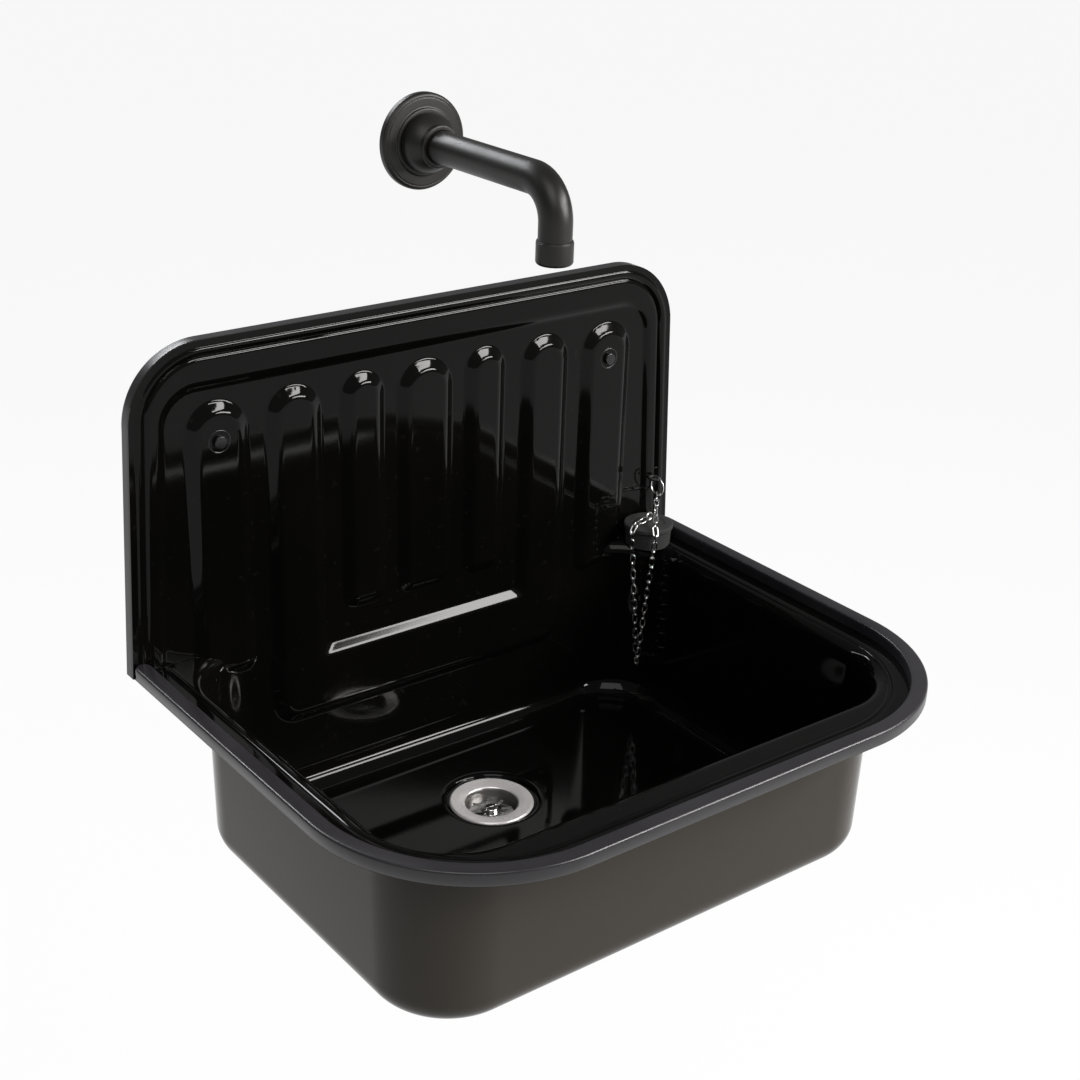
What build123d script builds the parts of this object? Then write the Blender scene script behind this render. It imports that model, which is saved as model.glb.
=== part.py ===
from build123d import *
import math
import os

# A wall-hung utility sink of enamelled steel with its splashback, plug and wall spout.
# Millimetres. X runs to the right, the wall is the plane Y = 0 and the sink stands out to -Y.
# Heights are measured from the top of the rim. The finished pieces are then moved down, so
# that the origin is on the wall, midway between the two fixing screws.

# Overall sizes of the basin and splashback
BASIN_WIDTH = 510.0
BASIN_REACH = 385.5
RIM_CORNER = 127.0
SPLASH_HEIGHT = 235.0
SPLASH_TAPER = 11.5
SPLASH_CORNER = 58.0

# The enamelled sheet and how far its flat field stands off the wall
SHEET = 2.0
STAND_OFF = 4.5

# Bowl: the flange left at its sides and front, its depth, and how far the walls lean in by the floor
FLANGE_DROP = 11.0
FLANGE_SIDE = 37.5
FLANGE_FRONT = 53.5
BOWL_DEPTH = 144.0
BOWL_LEAN = 3.6
BOWL_FRONT_CORNER = 63.0
BOWL_REAR_CORNER = 60.0
BOWL_FLOOR_RADIUS = 22.0
BOWL_MOUTH_RADIUS = 10.0
FLANGE_SETBACK = 1.0
WALL_CLEARANCE = 0.4

# Raised bead on the flange
BEAD_INSET = 25.5
BEAD_WIDTH = 3.0
BEAD_HEIGHT = 0.8

# Black strip on the rim and the turned-up edge inside it
STRIP_WIDTH = 12.5
STRIP_WALL = 1.8
STRIP_HEIGHT = 10.0
STRIP_ROUND = 2.2
STRIP_END_CAP = 7.0
STRIP_END_GAP = 0.6
UPSTAND_INSET = 5.0

# Splashback border: strip, turned-back edge, bead, groove, band and step
SPLASH_STRIP_WIDTH = 5.5
SPLASH_STRIP_FACE = 1.3
BAND_HEIGHT = 2.5
EDGE_INSET = 2.0
GROOVE_INSET = 13.0
GROOVE_WIDTH = 4.0
GROOVE_DEPTH = 1.8
BAND_SIDE = 22.0
BAND_TOP = 31.0
BAND_STEP = 5.0

# Pressed ribs: height, width of the slopes, how deep in the sheet their outline is drawn, and
# how the space left between them is shared out: next to the middle rib and next to the outer one
RIB_HEIGHT = 5.0
RIB_SLOPE = 11.0
RIB_ROOT = 1.0
RIB_TOP = 189.0
RIB_WIDE = 52.0
RIB_LEG = 48.0
RIB_NARROW = 40.0
RIB_MIDDLE_GAP = 3 / 11
RIB_OUTER_GAP = 26 / 77
RIB_FOOT = -5.0
RIB_FOOT_RADIUS = 13.0
BAR_TOP = -29.0
BAR_FOOT = -90.0
BAR_CORNER = 22.0

# Wall fixings: screws with a rolled thread that begins just inside the wall, their caps and spacers
SCREW_SIDE = 76.5
SCREW_Z = 158.5
SCREW_RADIUS = 2.5
SCREW_THREAD_RADIUS = 2.9
SCREW_HEAD_RADIUS = 4.1
SCREW_HEAD_HEIGHT = 2.8
SCREW_LENGTH = 62.0
THREAD_START = 0.3
CAP_BASE_RADIUS = 9.8
CAP_BASE_HEIGHT = 2.4
CAP_BASE_FLOOR = 1.2
CAP_BASE_DRAFT = 0.5
CAP_BASE_CROWN = 1.6
CAP_DISH_WIDTH = 1.2
CAP_BUTTON_RADIUS = 4.9
CAP_BUTTON_HEIGHT = 3.6
CAP_BUTTON_EDGE = 0.7
CAP_HEAD_GAP = 0.15
SPACER_RADIUS = 9.0
HOLE_CLEARANCE = 0.4
BUFFER_RADIUS = 11.0
BUFFER_EDGE = 1.0
BUFFER_X = 120.0
BUFFER_Z = -118.0

# Waste
WASTE_Y = -106.5
RECESS_RADIUS = 38.0
RECESS_DEPTH = 3.0
WASTE_FLANGE_RADIUS = 34.0
WASTE_FLANGE_THICKNESS = 2.6
WASTE_RIM_HEIGHT = 1.0
WASTE_RIM_WIDTH = 3.0
WASTE_RIM_DROP = 0.5
WASTE_DISH_DROP = 0.4
WASTE_LIP_RADIUS = 26.5
WASTE_LIP_ROUND = 0.8
WASTE_MOUTH_RADIUS = 21.3
WASTE_MOUTH_ROUND = 0.6
WASTE_STEP = 2.4
WASTE_CONE = 3.0
THROAT_RADIUS = 20.3
THROAT_WALL = 1.4
THROAT_DEPTH = 11.0
FLOOR_HOLE_RADIUS = 24.6
UPPER_GASKET = 1.0
LOWER_GASKET = 3.0
GASKET_RADIUS = 31.5
GRID_THICKNESS = 1.6
GRID_SEAT = 1.6
GRID_SLOTS = 8
GRID_SLOT_WIDTH = 3.2
GRID_SLOT_START = 8.0
GRID_SLOT_END = 17.4
GRID_CENTRE_GAP = 0.1
WASTE_SCREW_RADIUS = 3.0
WASTE_SCREW_HEAD_RADIUS = 5.6
WASTE_SCREW_HEAD_HEIGHT = 3.0
WASTE_SCREW_HEAD_ROUND = 1.2
WASTE_SCREW_SLOT_WIDTH = 1.2
WASTE_SCREW_SLOT_DEPTH = 1.2
WASTE_SCREW_LENGTH = 20.0
WASTE_THREAD_RADIUS = 23.9
WASTE_THREAD_GAP = 0.05
WASTE_BODY_FLANGE = 4.0
WASTE_BODY_LENGTH = 46.0
WASTE_BOSS_RADIUS = 6.0
WASTE_BOSS_HEIGHT = 9.0
WASTE_ARM_WIDTH = 3.5
WASTE_ARM_ROOT = 0.3
WASTE_BOSS_DROP = 11.0

# Rubber plug, standing over the bowl's side line on the ledge in the rear right corner
PLUG_Y = -31.0
PLUG_FOOT_RADIUS = 19.0
PLUG_WAIST_RADIUS = 19.9
PLUG_TOP_RADIUS = 21.2
PLUG_HEIGHT = 19.5
PLUG_LIP = 5.0
PLUG_EDGE = 1.2
PLUG_FOOT_EDGE = 0.8
PLUG_HOLLOW_RADIUS = 14.5
PLUG_HOLLOW_TAPER = 2.0
PLUG_HOLLOW_DEPTH = 12.0
PLUG_SEAT_GAP = 0.05
PLUG_EYE_RADIUS = 3.6
PLUG_EYE_WIRE = 0.9
PLUG_EYE_STEM = 0.7
PLUG_EYE_STEM_DEPTH = 6.0

# Chain: oval wire links, one pitch apart, every other link turned a quarter turn
CHAIN_WIRE = 1.2
CHAIN_PITCH = 7.2
CHAIN_WIDTH = 5.2
CHAIN_PLAY = 0.3
CHAIN_REST_GAP = 0.3
LOOP_LINKS = 17
LOOP_ANGLE = 38.0
LEAD_LINKS = 6
LEAD_END_PLAY = 0.2
FRONT_STRAND_ANGLE = 25.0
REAR_STRAND_ANGLE = 76.0
HOOK_WIRE = 1.5
HOOK_WIDTH = 6.6
HOOK_OPENING = 1.2

# Chain stay in the splashback's border, a little inside the rim: eye, nut and open ring
STAY_SIDE = 19.8
STAY_Z = 40.6
STAY_EYE_RADIUS = 4.4
STAY_EYE_WIRE = 1.1
STAY_EYE_NECK = 0.2
STAY_BASE_RADIUS = 4.4
STAY_BASE_HEIGHT = 1.4
STAY_SHANK_RADIUS = 2.0
STAY_SHANK_END = 1.0
STAY_NUT_WIDTH = 7.0
STAY_NUT_HEIGHT = 2.6
RING_RADIUS = 8.0
RING_WIRE = 0.8
RING_REST_GAP = 0.05
RING_OPENING = 24.0
RING_OPENING_TURN = 118.0
RING_LINK_PLAY = 1.8

# Wall spout
SPOUT_Z = 352.0
SPOUT_REACH = 163.0
SPOUT_TUBE_RADIUS = 11.8
SPOUT_TUBE_WALL = 2.0
SPOUT_BEND_RADIUS = 26.0
SPOUT_OUTLET_Z = 298.0
SPOUT_SOCKET = 9.5
ROSE_RADIUS = 35.2
ROSE_THICKNESS = 7.0
ROSE_EDGE = 0.6
ROSE_BEVEL_HEIGHT = 2.0
ROSE_BEVEL_DRAFT = 0.7
ROSE_BEVEL_WIDTH = 2.2
ROSE_STEP_RADIUS = 24.5
ROSE_STEP = 1.6
ROSE_STEP_EDGE = 0.4
ROSE_HOLE_RADIUS = 13.7
COLLAR_RADIUS = 21.8
COLLAR_EDGE = 0.8
COLLAR_SKIRT = 3.0
COLLAR_WAIST = 1.6
COLLAR_LIP_RADIUS = 15.0
COLLAR_LENGTH = 16.5
COLLAR_LIP = 2.4
COLLAR_LIP_EDGE = 0.5
COLLAR_LIP_STEP = 0.2
NIPPLE_THREAD_RADIUS = 10.48
NIPPLE_RADIUS = 9.9
NIPPLE_BORE = 7.5
NIPPLE_INTO_WALL = 15.0
NIPPLE_END_GAP = 0.3
NIPPLE_CLEARANCE = 0.08
GRUB_RADIUS = 2.5
GRUB_LENGTH = 6.5
GRUB_DRIVE_WIDTH = 1.8
GRUB_DRIVE_DEPTH = 2.0
GRUB_CLEARANCE = 0.05
AERATOR_RADIUS = 13.0
AERATOR_HEIGHT = 16.6
AERATOR_LIP = 2.0
AERATOR_LIP_RADIUS = 9.3
AERATOR_EDGE = 1.2
AERATOR_TOP_EDGE = 0.5
AERATOR_THREAD_RADIUS = 10.9
AERATOR_THREAD_GAP = 0.1
AERATOR_INSERT_HEIGHT = 4.0
AERATOR_SEAL_HEIGHT = 1.4
AERATOR_SEAL_WIDTH = 2.0
AERATOR_HOLE_RADIUS = 0.9
AERATOR_HOLE_PITCH = 2.8
AERATOR_HOLE_RINGS = 3
AERATOR_HOLES_A_RING = 6

# Places that follow from the sizes above
SPLASH_TOP_WIDTH = BASIN_WIDTH - SPLASH_TAPER * 2
BOWL_WIDTH = BASIN_WIDTH - FLANGE_SIDE * 2
BOWL_FRONT = BASIN_REACH - FLANGE_FRONT
SCREW_X = BASIN_WIDTH / 2 - SCREW_SIDE
RIB_SPACE = SCREW_X - RIB_WIDE - RIB_NARROW - RIB_LEG
RIB_NARROW_X = (RIB_WIDE + RIB_NARROW) / 2 + RIB_SPACE * RIB_MIDDLE_GAP
RIB_LEG_X = SCREW_X - (RIB_WIDE + RIB_LEG) / 2 - RIB_SPACE * RIB_OUTER_GAP
PLUG_X = BOWL_WIDTH / 2
STAY_X = BASIN_WIDTH / 2 - STAY_SIDE
FIELD_FACE = STAND_OFF + SHEET
BAND_FACE = FIELD_FACE + BAND_HEIGHT
RIB_FACE = FIELD_FACE + RIB_HEIGHT
SPLASH_STRIP_FRONT = BAND_FACE + SPLASH_STRIP_FACE
FLANGE_TOP = -FLANGE_DROP
FLANGE_UNDER = FLANGE_TOP - SHEET
FLOOR_TOP = FLANGE_TOP - BOWL_DEPTH
RECESS_TOP = FLOOR_TOP - RECESS_DEPTH
RECESS_UNDER = RECESS_TOP - SHEET
STRIP_START = SPLASH_STRIP_FRONT + STRIP_END_GAP
WASTE_FLANGE_UNDER = RECESS_TOP + UPPER_GASKET
WASTE_FLANGE_TOP = WASTE_FLANGE_UNDER + WASTE_FLANGE_THICKNESS
THROAT_END = WASTE_FLANGE_TOP - THROAT_DEPTH - GRID_SEAT
GRID_TOP = THROAT_END + GRID_SEAT + GRID_THICKNESS
WASTE_BODY_TOP = RECESS_UNDER - LOWER_GASKET
PLUG_FOOT = FLANGE_TOP + BEAD_HEIGHT + PLUG_SEAT_GAP
PLUG_TOP = PLUG_FOOT + PLUG_HEIGHT
EYE_HEIGHT = PLUG_TOP + PLUG_EYE_RADIUS + PLUG_EYE_WIRE + PLUG_SEAT_GAP
LINK_INSIDE = CHAIN_PITCH + CHAIN_WIRE / 2 + CHAIN_PLAY
CHAIN_HEIGHT = PLUG_TOP + CHAIN_WIDTH / 2 + CHAIN_REST_GAP
STRAND_REACH = PLUG_TOP_RADIUS + CHAIN_WIDTH / 2 + CHAIN_REST_GAP * 1.5
CORNER_REACH = PLUG_TOP_RADIUS - PLUG_EDGE
STAY_EYE_OUT = BAND_FACE + STAY_BASE_HEIGHT + STAY_EYE_NECK + STAY_EYE_RADIUS
RING_OUT = STAY_EYE_OUT + STAY_EYE_RADIUS
RING_Z = STAY_Z + STAY_EYE_WIRE + RING_WIRE + RING_REST_GAP - RING_RADIUS
ROSE_FACE = ROSE_THICKNESS + ROSE_STEP
ORIGIN_SHIFT = Pos(0, 0, -SCREW_Z)


def plan(half_width, front, rear, front_corner, rear_corner):
    """Plan outline on the ground plane, with front corners and, if given, rear corners round."""
    corners = [(-half_width, -rear), (half_width, -rear), (half_width, -front), (-half_width, -front)]
    outline = make_face(Polyline(*corners, close=True))
    by_depth = outline.vertices().sort_by(Axis.Y)
    rounded = fillet(by_depth[:2], front_corner)
    if rear_corner > 0:
        rounded = fillet(rounded.vertices().sort_by(Axis.Y)[-2:], rear_corner)
    return rounded


def rim_plan(inset, rear=0.0):
    """Plan of the rim drawn in by an inset, from the rear line outwards."""
    return plan(BASIN_WIDTH / 2 - inset, BASIN_REACH - inset, rear, RIM_CORNER - inset, 0)


def rim_ring(outer_inset, inner_inset, low, high, rear):
    """Upright band that follows the rim between two insets and two heights."""
    band = rim_plan(outer_inset, rear) - rim_plan(inner_inset, rear - 1)
    return extrude(Pos(0, 0, low) * band, amount=high - low)


def bowl_block(grow, top, bottom):
    """Solid that fills the bowl, or the bowl grown by a sheet, between two heights."""
    half = BOWL_WIDTH / 2 + grow
    front = BOWL_FRONT + grow
    rear = FIELD_FACE - grow
    lean = BOWL_LEAN * (FLANGE_TOP - bottom) / BOWL_DEPTH
    upper = plan(half, front, rear, BOWL_FRONT_CORNER + grow, BOWL_REAR_CORNER + grow)
    lower = plan(
        half - lean, front - lean, rear,
        BOWL_FRONT_CORNER + grow - lean, BOWL_REAR_CORNER + grow - lean,
    )
    block = loft([Pos(0, 0, top) * upper, Pos(0, 0, bottom) * lower], ruled=True)
    return fillet(block.edges().group_by(Axis.Z)[0], BOWL_FLOOR_RADIUS + grow)


def upright(outline, near, far):
    """Solid between two distances from the wall, from an outline drawn on the wall."""
    return extrude(Plane.XZ.offset(near) * outline, amount=far - near)


def splash_half(side, height):
    """Half width of the splashback at a height, drawn in by a side inset."""
    share = (height - FLANGE_TOP) / (SPLASH_HEIGHT - FLANGE_TOP)
    return BASIN_WIDTH / 2 - side + (SPLASH_TOP_WIDTH - BASIN_WIDTH) / 2 * share


def splash_outline(side, top, low):
    """Splashback outline on the wall, drawn in by a side inset and a top inset."""
    high = SPLASH_HEIGHT - top
    low_half = splash_half(side, low)
    high_half = splash_half(side, high)
    corners = [(-low_half, low), (low_half, low), (high_half, high), (-high_half, high)]
    outline = make_face(Polyline(*corners, close=True))
    return fillet(outline.vertices().sort_by(Axis.Y)[-2:], SPLASH_CORNER - (side + top) / 2)


def splash_ring(outer, inner, near, far):
    """Band along the splashback's edge between two insets and two distances from the wall."""
    low = FLANGE_TOP
    band = splash_outline(outer, outer, low) - splash_outline(inner, inner, low - 1)
    return upright(band, near, far)


def rib_outline(centre, half, low, top, low_radius):
    """Upright rib outline with a round top and small round corners at its foot."""
    left = centre - half
    right = centre + half
    shoulder = top - half
    turn = low_radius * (1 - math.sqrt(0.5))
    return make_face([
        Line((left + low_radius, low), (right - low_radius, low)),
        ThreePointArc((right - low_radius, low), (right - turn, low + turn), (right, low + low_radius)),
        Line((right, low + low_radius), (right, shoulder)),
        ThreePointArc((right, shoulder), (centre, top), (left, shoulder)),
        Line((left, shoulder), (left, low + low_radius)),
        ThreePointArc((left, low + low_radius), (left + turn, low + turn), (left + low_radius, low)),
    ])


def bar_outline(half, low, top, corner):
    """Cross bar outline with rounded lower corners."""
    outline = make_face(Polyline((-half, low), (half, low), (half, top), (-half, top), close=True))
    return fillet(outline.vertices().sort_by(Axis.Y)[:2], corner)


def pressed(outline):
    """Raised pressing with sloping sides, from an outline that takes how far it is drawn in."""
    root = Plane.XZ.offset(FIELD_FACE - RIB_ROOT) * outline(-RIB_ROOT * RIB_SLOPE / RIB_HEIGHT)
    crest = Plane.XZ.offset(RIB_FACE) * outline(RIB_SLOPE)
    return loft([root, crest], ruled=True)


def rib(centre, width, low):
    """One pressed rib."""
    return pressed(lambda inset: rib_outline(
        centre, width / 2 - inset, low + inset, RIB_TOP - inset, RIB_FOOT_RADIUS - inset))


def cross_bar():
    """Pressing below the seam that joins two of the ribs."""
    half = RIB_LEG_X + RIB_LEG / 2
    return pressed(lambda inset: bar_outline(
        half - inset, BAR_FOOT + inset, BAR_TOP - inset, BAR_CORNER - inset))


def short_ribs():
    """The three ribs that end above the seam."""
    return [
        rib(0, RIB_WIDE, RIB_FOOT),
        rib(-RIB_NARROW_X, RIB_NARROW, RIB_FOOT),
        rib(RIB_NARROW_X, RIB_NARROW, RIB_FOOT),
    ]


def long_ribs():
    """The four ribs that run on below the seam."""
    ribs = []
    for side in (-1, 1):
        ribs.append(rib(side * RIB_LEG_X, RIB_LEG, BAR_FOOT + RIB_SLOPE * 2))
        ribs.append(rib(side * SCREW_X, RIB_WIDE, FLANGE_TOP - RIB_SLOPE * 2))
    return ribs


def above_seam(shape):
    """The part of a shape above the seam between splashback and basin."""
    span = BASIN_WIDTH * 2
    return shape & Pos(0, 0, FLANGE_TOP + span / 2) * Box(span, span, span)


def below_seam(shape):
    """The part of a shape below the seam between splashback and basin."""
    span = BASIN_WIDTH * 2
    return shape & Pos(0, 0, FLANGE_TOP - span / 2) * Box(span, span, span)


def build_basin():
    """Basin: flange, turned-up edge, bead, bowl, recess for the waste and the lower pressing."""
    span = BASIN_WIDTH
    plate = Pos(0, 0, FLANGE_UNDER) * extrude(rim_plan(FLANGE_SETBACK, -span / 4), amount=SHEET)
    outside = bowl_block(SHEET, FLANGE_UNDER, FLOOR_TOP - SHEET)
    shell = plate + outside
    skirt = [e for e in shell.edges() if is_skirt_edge(e)]
    shell = fillet(skirt, BOWL_MOUTH_RADIUS + SHEET)
    shell = shell - bowl_block(0, FLANGE_TOP, FLOOR_TOP)
    mouth = [e for e in shell.edges() if is_mouth_edge(e)]
    shell = fillet(mouth, BOWL_MOUTH_RADIUS)
    shell = shell - Pos(0, span / 2 - STAND_OFF, 0) * Box(span * 2, span, span * 2)

    web_half = BOWL_WIDTH / 2 - BOWL_MOUTH_RADIUS
    web_height = BOWL_MOUTH_RADIUS * 2
    web = Pos(0, -STAND_OFF - SHEET / 2, FLANGE_TOP - web_height / 2) * Box(web_half * 2, SHEET, web_height)
    ledge_depth = STAND_OFF - WALL_CLEARANCE
    ledge_width = BASIN_WIDTH - FLANGE_SETBACK * 2
    ledge_y = -WALL_CLEARANCE - ledge_depth / 2
    ledge = Pos(0, ledge_y, FLANGE_TOP - SHEET / 2) * Box(ledge_width, ledge_depth, SHEET)
    upstand = rim_ring(UPSTAND_INSET, UPSTAND_INSET + SHEET, FLANGE_TOP, -STRIP_WALL,
                       STRIP_START + STRIP_END_CAP)
    bead = rim_ring(BEAD_INSET, BEAD_INSET + BEAD_WIDTH, FLANGE_TOP, FLANGE_TOP + BEAD_HEIGHT, BAND_FACE)
    shell = shell + web + ledge + upstand + bead

    pan = Pos(0, WASTE_Y, RECESS_UNDER) * Cylinder(
        RECESS_RADIUS + SHEET, RECESS_DEPTH, align=(Align.CENTER, Align.CENTER, Align.MIN))
    recess = Pos(0, WASTE_Y, RECESS_TOP) * Cylinder(
        RECESS_RADIUS, RECESS_DEPTH, align=(Align.CENTER, Align.CENTER, Align.MIN))
    hole = Pos(0, WASTE_Y, RECESS_UNDER) * Cylinder(FLOOR_HOLE_RADIUS, SHEET * 4)
    shell = shell + pan - recess - hole
    pressings = long_ribs() + [cross_bar()]
    for pressing in pressings:
        shell += below_seam(pressing)
    for pressing in pressings:
        shell -= below_seam(Pos(0, SHEET, 0) * pressing)
    return shell


def is_skirt_edge(edge):
    """Whether an edge lies where the bowl's outside meets the underside of the flange."""
    box = edge.bounding_box()
    inside = box.max.X < BOWL_WIDTH / 2 + SHEET * 2 and -box.max.X < BOWL_WIDTH / 2
    level = abs(box.min.Z - FLANGE_UNDER) < 0.01 and abs(box.max.Z - FLANGE_UNDER) < 0.01
    near = box.min.Y > -BOWL_FRONT - SHEET * 2 and box.max.Y < 0
    return inside and level and near and box.min.X > -BOWL_WIDTH / 2 - SHEET * 2


def is_mouth_edge(edge):
    """Whether an edge lies where the bowl's inside meets the top of the flange."""
    box = edge.bounding_box()
    level = abs(box.min.Z - FLANGE_TOP) < 0.01 and abs(box.max.Z - FLANGE_TOP) < 0.01
    near = box.min.Y > -BOWL_FRONT - SHEET and box.max.Y < 0
    return level and near and max(-box.min.X, box.max.X) < BOWL_WIDTH / 2 + SHEET


def build_splashback():
    """Splashback: flat field, raised band with its groove, turned-back edge and ribs."""
    low = FLANGE_TOP
    panel = upright(splash_outline(EDGE_INSET, EDGE_INSET, low), STAND_OFF, BAND_FACE)
    panel += splash_ring(EDGE_INSET, EDGE_INSET + SHEET, WALL_CLEARANCE, STAND_OFF)
    deep = splash_outline(BAND_SIDE + BAND_STEP, BAND_TOP + BAND_STEP, low - 1)
    wide = splash_outline(BAND_SIDE, BAND_TOP, low - 1)
    pocket = loft([Plane.XZ.offset(FIELD_FACE) * deep, Plane.XZ.offset(BAND_FACE) * wide], ruled=True)
    panel -= pocket
    panel -= splash_ring(GROOVE_INSET, GROOVE_INSET + GROOVE_WIDTH, BAND_FACE - GROOVE_DEPTH, BAND_FACE)
    ribs = short_ribs() + long_ribs()
    for pressing in ribs:
        panel += above_seam(pressing)
    for pressing in ribs:
        panel -= above_seam(Pos(0, SHEET, 0) * pressing)
    for side in (-1, 1):
        panel -= fixing_axis(side) * Cylinder(SCREW_THREAD_RADIUS + HOLE_CLEARANCE, RIB_FACE * 4)
    panel -= stay_axis() * Cylinder(STAY_SHANK_RADIUS + HOLE_CLEARANCE / 4, RIB_FACE * 4)
    return panel


def fixing_axis(side):
    """Frame on a fixing screw's axis at the wall, with its Z pointing away from the wall."""
    return Location(Plane(origin=(side * SCREW_X, 0, SCREW_Z), x_dir=(1, 0, 0), z_dir=(0, -1, 0)))


def stay_axis():
    """Frame on the chain stay's axis at the wall, with its Z pointing away from the wall."""
    return Location(Plane(origin=(STAY_X, 0, STAY_Z), x_dir=(1, 0, 0), z_dir=(0, -1, 0)))


def build_rim_strip():
    """Strip that caps the rim, hollow over the turned-up edge, with closed round ends."""
    low = -STRIP_HEIGHT - 1.0
    band = rim_plan(0, STRIP_START) - rim_plan(STRIP_WIDTH, STRIP_START - 1)
    ends = band.vertices().group_by(Axis.Y)[-1]
    band = fillet(ends, STRIP_WIDTH / 2 - 0.1)
    strip = extrude(Pos(0, 0, low) * band, amount=-low)
    strip = fillet(strip.edges().group_by(Axis.Z)[-1], STRIP_ROUND)
    hollow_start = STRIP_START + STRIP_END_CAP
    strip -= rim_ring(STRIP_WALL, STRIP_WIDTH - STRIP_WALL, low, -STRIP_WALL, hollow_start)
    outer_trim = rim_ring(-1.0, STRIP_WALL, low, -STRIP_HEIGHT, 0)
    return strip - outer_trim


def build_splash_strip():
    """Strip that caps the splashback's edge."""
    face = splash_ring(0, SPLASH_STRIP_WIDTH, BAND_FACE, SPLASH_STRIP_FRONT)
    side = splash_ring(0, STRIP_WALL, WALL_CLEARANCE, BAND_FACE)
    strip = face + side
    front = [e for e in strip.edges().group_by(Axis.Y)[0] if e.bounding_box().max.Z > FLANGE_TOP + 1]
    outer = [e for e in front if is_outer_splash_edge(e)]
    return fillet(outer, SPLASH_STRIP_FACE * 0.9)


def is_outer_splash_edge(edge):
    """Whether an edge of the splashback's strip lies on its outside."""
    mid = edge.position_at(0.5)
    middle = SPLASH_STRIP_WIDTH / 2
    top = mid.Z > SPLASH_HEIGHT - middle
    side = abs(mid.X) > splash_half(middle, mid.Z)
    corner_x = SPLASH_TOP_WIDTH / 2 - SPLASH_CORNER
    corner_z = SPLASH_HEIGHT - SPLASH_CORNER
    distance = math.hypot(max(abs(mid.X) - corner_x, 0), max(mid.Z - corner_z, 0))
    return top or side or distance > SPLASH_CORNER - middle


def tube(outer, inner, low, high):
    """Straight tube on the Z axis between two heights."""
    bottom = (Align.CENTER, Align.CENTER, Align.MIN)
    body = Cylinder(outer, high - low, align=bottom)
    if inner > 0:
        body -= Cylinder(inner, high - low, align=bottom)
    return Pos(0, 0, low) * body


def revolved(points):
    """Solid of revolution about Z from (radius, height) points."""
    profile = make_face(Polyline(*[(r, 0, z) for r, z in points], close=True))
    return revolve(profile, Axis.Z)


def build_fixings():
    """Screws, caps, spacers and buffers, each a set of equal pieces."""
    head_low = RIB_FACE + CAP_BASE_FLOOR
    head_high = head_low + SCREW_HEAD_HEIGHT
    hole = SCREW_THREAD_RADIUS + HOLE_CLEARANCE
    screw = tube(SCREW_RADIUS, 0, -THREAD_START, head_low)
    screw += tube(SCREW_HEAD_RADIUS, 0, head_low, head_high)
    screw += tube(SCREW_THREAD_RADIUS, 0, head_low - SCREW_LENGTH, -THREAD_START)
    base = revolved([
        (hole, RIB_FACE),
        (CAP_BASE_RADIUS, RIB_FACE),
        (CAP_BASE_RADIUS - CAP_BASE_DRAFT, RIB_FACE + CAP_BASE_HEIGHT * 0.6),
        (CAP_BASE_RADIUS - CAP_BASE_CROWN, RIB_FACE + CAP_BASE_HEIGHT),
        (CAP_BUTTON_RADIUS + CAP_DISH_WIDTH, head_low),
        (hole, head_low),
    ])
    button_top = head_low + CAP_BUTTON_HEIGHT
    head_space = SCREW_HEAD_RADIUS + CAP_HEAD_GAP
    button = revolved([
        (head_space, head_low),
        (CAP_BUTTON_RADIUS, head_low),
        (CAP_BUTTON_RADIUS, button_top - CAP_BUTTON_EDGE),
        (CAP_BUTTON_RADIUS - CAP_BUTTON_EDGE, button_top),
        (0, button_top),
        (0, head_high),
        (head_space, head_high),
    ])
    spacer = tube(SPACER_RADIUS, hole, 0, RIB_FACE - SHEET)
    sets = {}
    for name, piece in (
        ("wall_screws", screw), ("screw_cap_bases", base), ("screw_cap_buttons", button),
        ("wall_spacers", spacer),
    ):
        sets[name] = Compound([fixing_axis(side) * piece for side in (-1, 1)])
    buffer = tube(BUFFER_RADIUS, 0, 0, STAND_OFF)
    buffer = fillet(buffer.edges().group_by(Axis.Z)[0], BUFFER_EDGE)
    sets["rear_buffers"] = Compound([
        Location(Plane(origin=(x, 0, BUFFER_Z), x_dir=(1, 0, 0), z_dir=(0, -1, 0))) * buffer
        for x in (-BUFFER_X, BUFFER_X)
    ])
    return sets


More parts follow.
